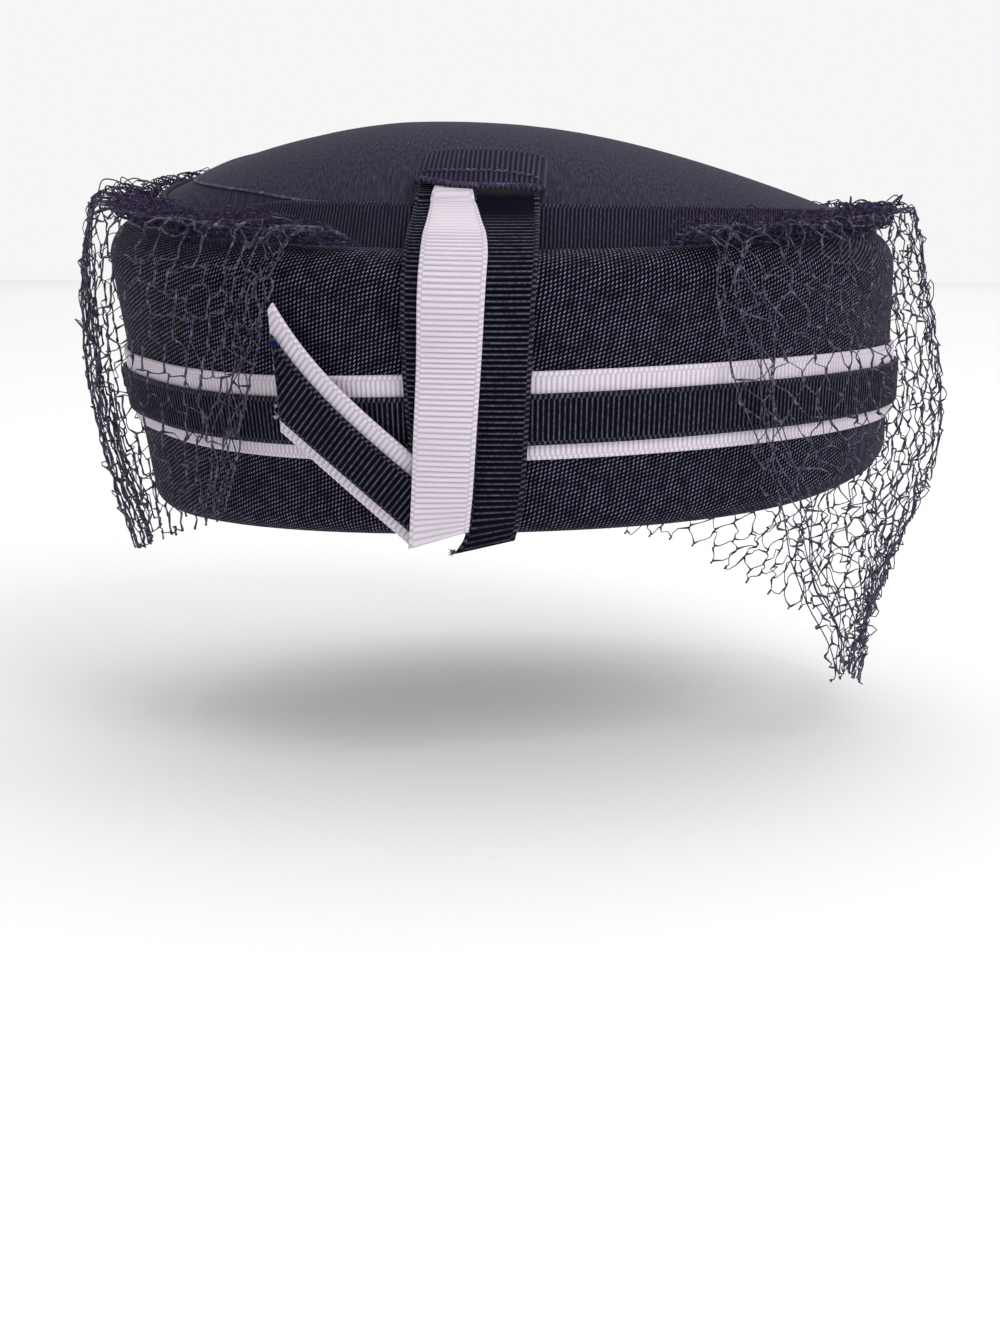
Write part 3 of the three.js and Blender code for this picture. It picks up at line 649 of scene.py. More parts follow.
@dataclass(frozen=True)
class Finish:
    """A cloth's finish: its colours from the painted shade in its hollows through its body to the painted
    highlight on its threads' crests, and its surface.
    """

    name: str
    # The deep colour is painted shade for the hollows and the crest colour is a painted highlight for the
    # threads' tops; the body lies between.
    deep: Colour
    body: Colour
    crest_highlight: Colour
    roughness: float = 0.75
    bump: float = 0.4
    sheen_tint: Colour = (0.6, 0.6, 0.75)
    sheen: float = 0.02
    sheen_roughness: float = 0.45
    specular: float = 0.05
    bump_height: float = 0.15 * MM

    def dimmed(self, share: float) -> Colour:
        """The body's colour, made darker."""
        return tuple(share * part for part in self.body)

    @cache
    def material(self) -> Material:
        """The material, built when it is first asked for."""
        material = bpy.data.materials.new(self.name)
        material.use_nodes = True
        material.diffuse_color = (*self.body, 1.0)
        sheet = NodeSheet(material.node_tree)
        shader = material.node_tree.nodes["Principled BSDF"]
        bump = sheet.add("ShaderNodeBump")
        colour, height, rough = self.paint(sheet)
        for name, value in (
            ("Base Color", colour),
            ("Roughness", rough),
            ("Specular IOR Level", self.specular),
            ("Sheen Weight", self.sheen),
            ("Sheen Roughness", self.sheen_roughness),
            ("Sheen Tint", self.sheen_tint),
            ("Normal", bump.outputs["Normal"]),
        ):
            sheet.join(value, shader.inputs[name])
        for name, value in (("Strength", self.bump), ("Distance", self.bump_height), ("Height", height)):
            sheet.join(value, bump.inputs[name])
        return material

    def paint(self, sheet: NodeSheet) -> tuple[Socket, Socket, object]:
        """The colour, the height and the roughness of bare thread, with painted shade where its grain is low
        and painted highlights in random flecks.
        """
        grain = sheet.noise(sheet.place(), 900.0, 2.0)
        # Painted shade in the grain's low places, painted highlights in its high ones.
        colour = sheet.blend(sheet.ramp(grain, 0.35, 0.7), self.deep, self.body)
        return sheet.blend(sheet.ramp(grain, 0.6, 0.85), colour, self.crest_highlight), grain, self.roughness


@dataclass(frozen=True)
class GrosgrainFinish(Finish):
    """Ribbed ribbon, whose UV counts the ribs along it and the millimetres across it."""

    def paint(self, sheet: NodeSheet) -> tuple[Socket, Socket, object]:
        """The ribbon's colour, with painted shade in the valleys and a broken painted highlight on the
        crests, its height and roughness.
        """
        ribs = sheet.add("ShaderNodeGroup", node_tree=Effects.grosgrain())
        sheet.join(sheet.place("UV"), ribs.inputs["Coordinate"])
        for mark, socket in (("relief", "Relief"), ("from_edge", "From Edge")):
            attribute = sheet.add("ShaderNodeAttribute", attribute_name=mark)
            sheet.join(attribute.outputs["Fac"], ribs.inputs[socket])
        soil = sheet.noise(sheet.place(), 130.0, 4.0)
        fleck = sheet.ramp(sheet.noise(sheet.place(), 1100.0, 2.0), 0.35, 0.65)
        # Thread and fleck noise break up the painted highlight along the ribs.
        highlight_breakup = sheet.scale(ribs.outputs["Thread"], 0.4, sheet.scale(fleck, 0.5, 0.15))
        # Painted shade in the valleys, then the painted highlight on the crests.
        colour = sheet.blend(ribs.outputs["Valley Shade"], self.body, self.deep)
        colour = sheet.blend(sheet.times(ribs.outputs["Crest Highlight"], highlight_breakup), colour, self.crest_highlight)
        colour = sheet.blend(sheet.times(sheet.ramp(soil, 0.45, 0.75), 0.3), colour, self.dimmed(0.82))
        return colour, ribs.outputs["Thread"], sheet.scale(soil, 0.3, self.roughness - 0.15)


@dataclass(frozen=True)
class PlainWeaveFinish(Finish):
    """Coarse plain weave, whose UV counts its threads both ways."""

    def paint(self, sheet: NodeSheet) -> tuple[Socket, Socket, object]:
        """The weave's colour, height and roughness, with painted shade between the crossings and a painted
        highlight on them.
        """
        weave = sheet.add("ShaderNodeGroup", node_tree=Effects.plain_weave())
        sheet.join(sheet.place("UV"), weave.inputs["Coordinate"])
        wobble = sheet.scale(sheet.noise(sheet.place(), 150.0, 2.0), 0.8, -0.4)
        sheet.join(wobble, weave.inputs["Wobble"])
        slub = sheet.ramp(sheet.noise(sheet.place(), 420.0, 3.0), 0.3, 0.7)
        height = weave.outputs["Height"]
        # Painted shade where the weave is low.
        colour = sheet.blend(sheet.ramp(height, 0.0, 0.6), self.deep, self.body)
        # Painted highlight on the crossings, stronger and weaker with the slub noise.
        lift = sheet.times(weave.outputs["Crossing Highlight"], sheet.scale(slub, 0.7, 0.3))
        return sheet.blend(lift, colour, self.crest_highlight), height, self.roughness


@dataclass(frozen=True)
class TwillFinish(Finish):
    """Fine twill, whose pattern lies over the piece by its UV."""

    def paint(self, sheet: NodeSheet) -> tuple[Socket, Socket, object]:
        """The twill's colour, height and roughness, with painted shade where it is low and a painted
        highlight in its flecks.
        """
        twill = sheet.add("ShaderNodeGroup", node_tree=Effects.twill())
        sheet.join(sheet.place("UV"), twill.inputs["Coordinate"])
        broad = sheet.ramp(sheet.noise(sheet.place(), 28.0, 3.0), 0.4, 0.7)
        height = twill.outputs["Height"]
        # Painted shade where the twill is low, then a painted highlight in its flecks.
        colour = sheet.blend(sheet.ramp(height, 0.3, 0.6), self.deep, self.body)
        colour = sheet.blend(sheet.ramp(twill.outputs["Fleck"], 0.5, 0.8), colour, self.crest_highlight)
        return sheet.blend(sheet.times(broad, 0.25), colour, self.dimmed(0.8)), height, self.roughness


# Each finish gives its deep colour (painted shade), its body colour and its crest colour (painted
# highlight).
PANAMA = PlainWeaveFinish(
    "coarse_navy_weave", (0.001, 0.0008, 0.003), (0.005, 0.0045, 0.011), (0.26, 0.235, 0.37), bump=0.9
)
GABARDINE = TwillFinish(
    "navy_gabardine", (0.014, 0.011, 0.022), (0.037, 0.031, 0.055), (0.07, 0.06, 0.102), 0.85
)
NAVY = GrosgrainFinish(
    "navy_grosgrain", (0.0006, 0.0006, 0.0018), (0.0035, 0.0035, 0.0095), (0.14, 0.138, 0.2), 0.6, 0.6
)
# The crown band and the keeper take copies of the navy grosgrain painted lighter where they lie high on the
# hat, as lit from above.
CROWN_NAVY_PAINTED_LIT = GrosgrainFinish(
    "crown_grosgrain_painted_lit", (0.004, 0.003, 0.008), (0.018, 0.0145, 0.029), (0.095, 0.08, 0.13)
)
KEEPER_NAVY_PAINTED_LIT = GrosgrainFinish(
    "keeper_grosgrain_painted_lit", (0.012, 0.009, 0.02), (0.03, 0.024, 0.048), (0.095, 0.08, 0.135)
)
WHITE = GrosgrainFinish(
    "white_grosgrain", (0.5, 0.43, 0.52), (0.78, 0.71, 0.79), (0.86, 0.8, 0.86), 0.6, sheen_tint=(1, 1, 1)
)
NET = Finish("net_thread", (0.03, 0.027, 0.045), (0.13, 0.118, 0.175), (0.32, 0.3, 0.4), 0.7)
GATHERS = Finish("gathered_net_thread", (0.02, 0.014, 0.034), (0.07, 0.053, 0.115), (0.2, 0.165, 0.29))
STITCH = Finish("navy_stitching", (0.05, 0.04, 0.075), (0.12, 0.1, 0.17), (0.26, 0.22, 0.34), 0.7)
BLUE_FRAY = Finish("blue_fray", (0.008, 0.012, 0.06), (0.018, 0.03, 0.14), (0.05, 0.075, 0.24), 0.7)
WHITE_FRAY = Finish("white_fray", (0.55, 0.52, 0.56), (0.75, 0.7, 0.75), (0.85, 0.82, 0.86), 0.7)


def dress(piece: Piece, finish: Finish, slot: Slot, *nodes: str) -> None:
    """Gives a piece its material and its place in the frame.

    Args:
        piece: The piece.
        finish: Its finish.
        slot: The slot that the finish belongs to; not used.
        nodes: The CAD nodes that it stands for.
    """
    piece.data.materials.clear()
    piece.data.materials.append(finish.material())
    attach(piece, BODY)
    if nodes:
        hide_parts(*nodes)
    LOG.info("%s: %d faces", piece.name, len(piece.data.polygons))


@dataclass
class Shell:
    """A cloth wall over a grid of points, with the pattern counted in threads."""

    name: str
    outer: Array
    thickness: float
    pitch: float

    def build(self) -> Piece:
        """Builds the wall as one closed shell that runs right round."""
        outer = np.concatenate([self.outer, self.outer[:1]])
        inner = (outer - self.thickness * grid_normals(outer, True))[:, ::-1]
        section = np.concatenate([outer, inner, outer[:, :1]], 1)
        steps = np.linalg.norm(np.diff(section, axis=1), axis=2).mean(0)
        run = np.concatenate([[0], np.cumsum(steps)])
        around = np.linalg.norm(np.diff(outer, axis=0), axis=2).sum(0).max()
        threads = WEAVE_REPEAT * round(around / self.pitch / WEAVE_REPEAT)
        u, v = np.meshgrid(np.linspace(0, threads, len(outer)), run / self.pitch, indexing="ij")
        return cloth_grid(self.name, section, np.stack([u, v], -1))


@dataclass
class Cuff:
    """The upright outer wall of the hat."""

    pitch: float = 1.04 * MM

    def build(self) -> None:
        """Builds the wall, curled in at the rim and rolled over at the top."""
        azimuth = np.arange(0, 360, 1.25)[:, None]
        rim, top = FORM.rim_height(azimuth), FORM.top_height(azimuth)
        inset, radius = FORM.rim_inset(azimuth), FORM.rim_radius
        curl = np.radians(np.linspace(-90, 0, 10))[None]
        height = rim + radius * (1 + np.sin(curl))
        low = FORM.cuff_point(azimuth, inset + radius * (1 - np.cos(curl)), height)
        share = np.linspace(0, 1, 14)[None, 1:-1]
        height = mix(rim + radius, top - FORM.shoulder_radius, share)
        side = FORM.cuff_point(azimuth, inset * (1 - share), height)
        turn, radius = np.radians(np.linspace(0, 90, 12))[None], FORM.shoulder_radius
        shoulder = FORM.cuff_point(azimuth, radius * (1 - np.cos(turn)), top - radius * (1 - np.sin(turn)))
        outer = np.concatenate([low, side, shoulder], 1)
        wall = Shell("cuff_cloth", outer, FORM.cuff_thickness, self.pitch).build()
        dress(wall, PANAMA, Slot.CUFF, "cuff")


@dataclass
class Crown:
    """The shallow domed cap, with its side and the welt where the two meet."""

    pitch: float = 0.62 * MM
    welt: float = 0.55 * MM
    ledge_inset: float = 5 * MM

    def build(self) -> None:
        """Builds the cap, with a hidden ledge that closes its foot under the cuff's lip, and the welt."""
        azimuth = np.arange(0, 360, 1.5)[:, None]
        depth = FORM.slope_start + FORM.crown_foot_depth * np.linspace(1, 0, 3)[None]
        ledge = FORM.cuff_point(azimuth, self.ledge_inset, FORM.top_height(azimuth) - depth[:, :1])
        foot = FORM.crown_foot(azimuth, depth)
        side = FORM.crown_side(azimuth, np.linspace(0, 1, 12)[None, 1:-1] * np.ones_like(azimuth))
        share = np.sqrt(np.linspace(1, 0.0, 22))[None]
        dome = FORM.crown_top(azimuth, share * np.ones_like(azimuth))
        outer = np.concatenate([ledge, foot, side, dome], 1)
        cap = Shell("crown_cloth", outer, FORM.crown_thickness, self.pitch).build()
        self.lay_flat_pattern(cap.data)
        dress(cap, GABARDINE, Slot.CROWN, "crown")
        turns = np.linspace(0, 360, 361)
        ring = Strand(FORM.crown_side(turns, np.full_like(turns, 0.995)), np.ones(len(turns)))
        dress(thread_piece("crown_welt", [ring], self.welt), STITCH, Slot.CROWN)

    def lay_flat_pattern(self, mesh: bpy.types.Mesh) -> None:
        """Lays the weave straight across the dome, as on cloth that was cut flat."""
        places = vertex_places(mesh)[corner_vertices(mesh)]
        flat = np.column_stack([places[:, 0], places[:, 1] - 1.2 * places[:, 2]]) / self.pitch
        mesh.uv_layers[0].data.foreach_set("uv", flat.astype(np.float32).ravel())


@dataclass
class Ribbon:
    """A length of grosgrain over a surface, with raised cross ribs and beaded selvedges."""

    name: str
    surface: Surface
    length: float
    width: float
    off: float
    around: bool = False
    pitch: float = 1.3 * MM
    rib: float = 0.24 * MM
    selvedge: float = 1.2 * MM
    steps: int = 6
    relief: Callable[[Array], Array] = np.ones_like

    def columns(self) -> Array:
        """Where the grid's columns lie across the ribbon, in shares of its width."""
        edge = np.array([0, 0.12, 0.35, 0.6, 0.85, 1.1]) * self.selvedge / self.width
        inner = np.linspace(edge[-1], 1 - edge[-1], 5)[1:-1]
        return np.concatenate([edge, inner, 1 - edge[::-1]])

    def build(self) -> Piece:
        """Builds the ribbon as one closed strip."""
        ribs = max(2, round(self.length / self.pitch))
        along = np.linspace(0, 1, ribs * self.steps + 1)
        across = self.columns()
        grid = self.surface(*np.meshgrid(along, across, indexing="ij"))
        normals = grid_normals(grid, self.around)
        count = along[:, None] * ribs
        strength = self.relief(along)
        edge = np.minimum(across, 1 - across)[None] * self.width / self.selvedge
        border = np.clip(1.15 - edge, 0, 1) ** 2
        ridge = np.abs(np.sin(np.pi * count)) ** 0.8 * np.clip(edge * 1.6, 0, 1)
        bead = 0.5 + 0.5 * np.cos(2 * np.pi * (count + BEAD_SLOPE * edge))
        top = (1 - border) * ridge + border * (0.35 + 0.5 * bead)
        rounding = np.clip(edge / 0.25, 0, 1) ** 0.5
        height = (FORM.ribbon - self.rib) * (0.25 + 0.75 * rounding) + self.rib * top * strength[:, None]
        upper = grid + normals * (self.off + height)[..., None]
        under = grid + normals * self.off
        section = np.concatenate([upper, under[:, -1:], under[:, :1], upper[:, :1]], 1)
        girth = np.concatenate([across, [1.0, 0.0, 0.0]]) * self.width / MM
        u, v = np.meshgrid(count[:, 0], girth, indexing="ij")
        from_edge = np.concatenate([edge[0], [0.0, 0.0, 0.0]])
        marks = {"relief": strength[:, None] * np.ones_like(u), "from_edge": from_edge * np.ones_like(u)}
        return cloth_grid(self.name, section, np.stack([u, v], -1), marks)


@dataclass
class Trim:
    """The ribbons that run right round: the crown band and the two stripes."""

    navy_stripe_width: float = 11.9 * MM
    navy_stripe_drop: float = 0.6 * MM
    stripe_pitch: float = 1.28 * MM
    band_width: float = 15 * MM
    band_pitch: float = 0.99 * MM
    band_rib: float = 0.2 * MM
    band_lean: float = 4.4
    band_shift: float = 2.7

    def band_surface(self, along: Array, across: Array) -> Array:
        """The crown band's place on the crown's side."""
        azimuth = 360 * along
        share = CROWN_SECTIONS.value("band_top", azimuth) * across
        turn = np.radians(azimuth)
        lean = self.band_lean * np.sin(turn) * np.abs(np.cos(turn)) - self.band_shift * np.cos(turn)
        return FORM.crown_side(azimuth + lean * share, share)

    def stripe_surface(self, width: float, drop: float) -> Surface:
        """The place of a stripe on the cuff's side."""

        def surface(along: Array, across: Array) -> Array:
            """The stripe's points."""
            azimuth = 360 * along
            lift, share = STRIPE_SECTIONS.values(azimuth)
            middle = FORM.stripe_height + FORM.stripe_tilt * lift
            height = middle - drop + (across - 0.5) * (width * share)
            return FORM.cuff_point(azimuth, FORM.side_inset(azimuth, height), height)

        return surface

    def build(self) -> None:
        """Builds the three ribbons."""
        around = TWO_PI * (FORM.cuff_half_width + FORM.cuff_half_length) / 2
        crown, gap = around - TWO_PI * FORM.shoulder_radius, FORM.clearance
        wide, narrow, drop = FORM.white_stripe_width, self.navy_stripe_width, self.navy_stripe_drop
        band = Ribbon("crown_band_ribbon", self.band_surface, crown, self.band_width, gap, True)
        band.pitch, band.rib = self.band_pitch, self.band_rib
        dress(band.build(), CROWN_NAVY_PAINTED_LIT, Slot.NAVY, "crown_band")
        for name, width, lower, off, finish, slot in (
            ("white_stripe", wide, 0, gap, WHITE, Slot.WHITE),
            ("navy_stripe", narrow, drop, 2 * gap + FORM.ribbon, NAVY, Slot.NAVY),
        ):
            surface = self.stripe_surface(width, lower)
            stripe = Ribbon(f"{name}_ribbon", surface, around, width, off, True, self.stripe_pitch, steps=5)
            dress(stripe.build(), finish, slot, name)


@dataclass
class Upright:
    """One of the ornament's upright ribbons, from a table of cuts across it.

    The cuts' edges are shares of the ornament's half width, and their drops of its foot's drop. The fade
    says how high its ribs stand along it.
    """

    name: str
    node: str
    cuts: Table
    fade: Table
    foot: float
    width: float
    layer: int = 0
    rib_pitch: float = 1.32 * MM


KEEPER_CUTS = table(
    "across low high low_loft high_loft",
    (-1, 0.962, 0.862, 0.34, 0.38),
    (-0.92, 0.965, 0.862, 0.55, 0.62),
    (-0.7, 0.977, 0.866, 0.62, 0.78),
    (-0.35, 0.99, 0.874, 0.67, 0.91),
    (0, 0.993, 0.878, 0.67, 0.95),
    (0.35, 0.992, 0.877, 0.67, 0.92),
    (0.7, 0.991, 0.872, 0.64, 0.8),
    (0.94, 0.991, 0.868, 0.58, 0.62),
    (1, 0.992, 0.868, 0.36, 0.44),
)
UPRIGHT_COLUMNS = "along left right left_drop right_drop"
LEFT_LEG_CUTS = table(
    UPRIGHT_COLUMNS,
    (0, -0.889, -0.118, 0, 0),
    (0.18, -0.922, -0.052, 0, 0),
    (0.35, -1, 0, 0, 0),
    (0.72, -1, 0.039, 0, 0),
    (0.78, -0.97, 0.02, 0, 0),
    (0.86, -0.928, -0.11, 0, 0),
    (1, -0.895, -0.17, 0, 0),
)
RIGHT_LEG_CUTS = table(
    UPRIGHT_COLUMNS,
    (0, -0.255, 0.66, 1, -0.065),
    (0.03, -0.105, 0.712, 0.77, -0.065),
    (0.07, -0.039, 0.758, 0.19, 0),
    (0.15, 0.007, 0.83, 0, 0),
    (0.6, 0.17, 1, 0, 0),
    (0.72, 0.17, 1, 0, 0),
    (0.78, 0.05, 0.99, 0, 0),
    (0.86, -0.08, 0.97, 0, 0),
    (1, -0.14, 0.935, 0, 0),
)
WHITE_RIBBON_CUTS = table(
    UPRIGHT_COLUMNS,
    (0, -0.928, -0.02, 0.84, -0.645),
    (0.04, -0.895, 0.007, 0.26, -0.26),
    (0.12, -0.856, 0.059, 0, 0),
    (0.36, -0.778, 0.17, 0, 0),
    (0.62, -0.732, 0.268, 0, 0),
    (0.7, -0.728, 0.222, 0, 0),
    (0.76, -0.699, 0.124, 0, 0),
    (0.83, -0.667, 0.013, 0, 0),
    (0.88, -0.641, -0.072, 0, 0),
    (1, -0.627, -0.105, 0, 0),
)
FADE_COLUMNS = "along relief"
LEFT_LEG_FADE = table(FADE_COLUMNS, (0, 1), (0.85, 1), (1, 0.6))
RIGHT_LEG_FADE = table(FADE_COLUMNS, (0, 0.6), (0.1, 1), (0.75, 1), (0.8, 0.05), (1, 0.02))
WHITE_RIBBON_FADE = table(
    FADE_COLUMNS, (0, 0.8), (0.1, 1), (0.68, 1), (0.735, 0.25), (0.78, 0.3), (0.84, 0.5), (1, 0.5)
)
UPRIGHTS = (
    Upright("left_leg_ribbon", "left_leg", LEFT_LEG_CUTS, LEFT_LEG_FADE, 2 * MM, 15.9 * MM),
    Upright("right_leg_ribbon", "right_leg", RIGHT_LEG_CUTS, RIGHT_LEG_FADE, -0.4 * MM, 12.7 * MM),
    Upright(
        "white_centre_ribbon",
        "white_ribbon",
        WHITE_RIBBON_CUTS,
        WHITE_RIBBON_FADE,
        0.6 * MM,
        15.3 * MM,
        1,
        1.254 * MM,
    ),
)


@dataclass
class Ornament:
    """The ribbon ornament on the front: two navy legs, a white ribbon, their keeper and the slanted tail."""

    upright_length: float = 104 * MM
    half_width: float = 15.3 * MM
    foot_drop: float = 3.1 * MM
    rib: float = 0.3 * MM
    keeper_length: float = 34 * MM
    keeper_width: float = 12 * MM
    keeper_pitch: float = 1.31 * MM
    keeper_reach: float = 15.2 * MM
    keeper_shift: float = 0.5 * MM
    keeper_slant: float = 1.5 * MM
    keeper_loft: float = 6.4 * MM
    stitch_radius: float = 0.27 * MM
    stitch_arch: float = 0.45 * MM
    tail_pitch: float = 1.32 * MM
    tail_rib: float = 0.26 * MM
    tail_selvedge: float = 0.7 * MM
    tail_width: float = 18 * MM
    tail_border: float = 3 * MM
    tail_navy_width: float = 11 * MM
    tail_angle: float = math.radians(39.9)
    tail_reach: float = 45.6 * MM
    tail_spare: float = 24 * MM
    tail_start: float = -6 * MM
    tail_end_heights: tuple[float, float] = (53 * MM, 17 * MM)
    tail_flare: float = 0.28
    tail_foot: tuple[float, float] = (-14.2 * MM, -2 * MM)
    layer_step: float = FORM.ribbon + FORM.clearance
    leg_off: float = 2 * (FORM.ribbon + FORM.clearance) + FORM.clearance

    def front_line(self, x: float, foot: float, tail_lift: float) -> Array:
        """The points that an upright ribbon runs through, from its foot over the shoulder on to the crown.

        Args:
            x: How far to the side.
            foot: The height of its foot.
            tail_lift: How far the tail lifts it there.

        Returns:
            The points.
        """
        azimuth = np.degrees(np.arcsin(x / FORM.cuff_half_width))
        crown_azimuth = np.degrees(np.arcsin((x - FORM.crown_shift) / FORM.crown_half_width))
        tail_top = FORM.stripe_height - 0.25 * FORM.white_stripe_width
        band = FORM.ribbon + 2 * FORM.clearance

        def shoulder(angle: float, off: float) -> Array:
            """A point so far up the rounded shoulder and so far off it."""
            radius = FORM.shoulder_radius + off
            inset = FORM.shoulder_radius - radius * math.cos(math.radians(angle))
            height = FORM.top_height(azimuth) - FORM.shoulder_radius + radius * math.sin(math.radians(angle))
            return FORM.cuff_point(azimuth, inset, height)

        lifted = self.leg_off + tail_lift
        edge = FORM.crown_side(crown_azimuth, np.array(1.0))
        return np.array(
            [
                FORM.front_point(x, foot, lifted),
                FORM.front_point(x, mix(foot, tail_top, 0.6), lifted),
                FORM.front_point(x, tail_top, lifted),
                FORM.front_point(x, FORM.stripe_height + 0.5 * FORM.white_stripe_width, self.leg_off),
                shoulder(0, 2.03 * FORM.ribbon),
                shoulder(42, 1.2 * FORM.ribbon),
                edge + np.array([0, -1.9, -0.3]) * band,
                edge + np.array([0, -1.025, 1.01]) * band,
                FORM.dome_point(x, 0.95, 0.9 * FORM.ribbon),
                FORM.dome_point(x, 0.87, 0.7 * FORM.ribbon),
            ]
        )

    def upright_surface(self, upright: Upright) -> Surface:
        """The surface that an upright ribbon lies on."""
        tail_lift = 2 * self.layer_step * upright.layer

        def surface(along: Array, across: Array) -> Array:
            """The ribbon's points."""
            places, shares = along[:, 0], 1 - across[0]
            low, high = (upright.cuts.value(side, 0.4) * self.half_width for side in ("left", "right"))
            lines = [
                even_curve(self.front_line(mix(low, high, share), upright.foot, tail_lift)[:, 1:], places)
                for share in shares
            ]
            grid = np.stack(lines, 1)
            left, right, left_drop, right_drop = (part[:, None] for part in upright.cuts.values(places))
            x = self.half_width * mix(left, right, shares)
            z = grid[..., 1] - self.foot_drop * mix(left_drop, right_drop, shares)
            return np.stack([x, grid[..., 0], z], -1)

        return surface

    def build_uprights(self) -> None:
        """Builds the two legs and the white ribbon."""
        for upright in UPRIGHTS:
            ribbon = Ribbon(
                upright.name,
                self.upright_surface(upright),
                self.upright_length,
                upright.width,
                upright.layer * self.layer_step,
                pitch=upright.rib_pitch,
                rib=self.rib,
                relief=lambda along, fade=upright.fade: fade.value("relief", along),
                steps=8,
            )
            finish, slot = (WHITE, Slot.WHITE) if upright.layer else (NAVY, Slot.NAVY)
            dress(ribbon.build(), finish, slot, upright.node)

    def keeper_surface(self, along: Array, across: Array) -> Array:
        """The keeper's place, arched over the tops of the uprights."""
        place = 2 * along - 1
        slant = self.keeper_slant * across * np.maximum(0, -place)
        x = place * self.keeper_reach + self.keeper_shift + slant
        low, high, low_loft, high_loft = KEEPER_CUTS.values(place)
        loft = mix(low_loft, high_loft, np.sin(across * np.pi / 2))
        return FORM.dome_point(x, mix(low, high, across), loft * self.keeper_loft)

    def stitch_on_keeper(self, along: Ends, across: Ends, sink: float) -> Strand:
        """One stitch over the keeper's cloth.

        Args:
            along: Where it comes up and goes down, along the keeper.
            across: How far up the cloth it does.
            sink: How deep its ends go, in millimetres.

        Returns:
            The stitch.
        """
        share = np.linspace(0, 1, 7)
        up = np.clip(mix(*across, share), 0, 1)
        points = self.keeper_surface(mix(*along, share)[:, None], up[:, None])
        lift = FORM.ribbon - sink * MM + self.stitch_arch * np.sin(np.pi * share)
        path = points[:, 0] + np.stack([0 * lift, -0.5 * lift, 0.87 * lift], -1)
        return Strand(path, 0.7 + 0.3 * np.sin(np.pi * share))

    def build_keeper(self) -> None:
        """Builds the keeper and the stitching along its lower edge."""
        keeper = Ribbon("keeper_ribbon", self.keeper_surface, self.keeper_length, self.keeper_width, 0)
        keeper.pitch, keeper.rib, keeper.steps = self.keeper_pitch, self.rib, 8
        dress(keeper.build(), KEEPER_NAVY_PAINTED_LIT, Slot.NAVY, "keeper")
        stitches = []
        for start in np.arange(0.02, 0.95, 0.06):
            seam = 0.12 + 0.18 * math.sqrt(math.sin(math.pi * (start + 0.02)))
            stitches.append(self.stitch_on_keeper((start, start + 0.052), (seam, seam + 0.02), 0.0))
        for start in np.arange(0.01, 0.97, 0.026):
            stitches.append(self.stitch_on_keeper((start, start + 0.032), (0.0, 0.06), 0.25))
        dress(thread_piece("keeper_stitches", stitches, self.stitch_radius), STITCH, Slot.NAVY)

    def tail_surface(self, low: float, high: float) -> Surface:
        """The tail's cloth between two distances from its lower edge, a little longer than the tail."""
        cos, sin = math.cos(self.tail_angle), math.sin(self.tail_angle)
        reach = self.tail_reach + self.tail_foot[0]

        def surface(along: Array, across: Array) -> Array:
            """The tail's points."""
            run = self.tail_start + (reach / cos + self.tail_spare) * (1 - along)
            plain = low + (high * 0.97 - low) * across
            open_end = np.clip((run * cos - plain * sin) / reach, 0, 1.1)
            edge = plain + high * self.tail_flare * open_end**3 * across
            x = self.tail_foot[0] - run * cos + edge * sin
            return FORM.front_point(x, self.tail_foot[1] + run * sin + edge * cos, self.leg_off)

        return surface

    def trim_tail(self, piece: Piece, reach: float) -> None:
        """Cuts the tail off upright at its end and at its foot, and closes the cuts."""
        activate(piece)
        bpy.ops.object.mode_set(mode="EDIT")
        upper, lower = (
            FORM.front_point(np.array(-reach), np.array(height), self.leg_off + self.layer_step)
            for height in self.tail_end_heights
        )
        cut = Vector((lower[2] - upper[2], 0, upper[0] - lower[0])).normalized()
        foot = (self.tail_foot[0], 0, self.tail_foot[1])
        for place, normal in ((tuple(upper), cut), (foot, (1, 0, -0.07))):
            bpy.ops.mesh.select_all(action="SELECT")
            bpy.ops.mesh.bisect(plane_co=place, plane_no=normal, use_fill=True, clear_outer=True)
        bpy.ops.object.mode_set(mode="OBJECT")

    def build_tail(self) -> None:
        """Builds the tail's two ribbons."""
        length = (self.tail_reach + self.tail_foot[0]) / math.cos(self.tail_angle) + self.tail_spare
        for name, low, width, layer, shy, finish, slot in (
            ("white_tail", 0, self.tail_width, 1, 0, WHITE, Slot.WHITE),
            ("navy_tail", self.tail_border, self.tail_navy_width, 2, FORM.clearance, NAVY, Slot.NAVY),
        ):
            off = layer * self.layer_step
            ribbon = Ribbon(f"{name}_ribbon", self.tail_surface(low, low + width), length, width, off)
            ribbon.pitch, ribbon.rib, ribbon.selvedge = self.tail_pitch, self.tail_rib, self.tail_selvedge
            piece = ribbon.build()
            self.trim_tail(piece, self.tail_reach - shy)
            dress(piece, finish, slot, name)

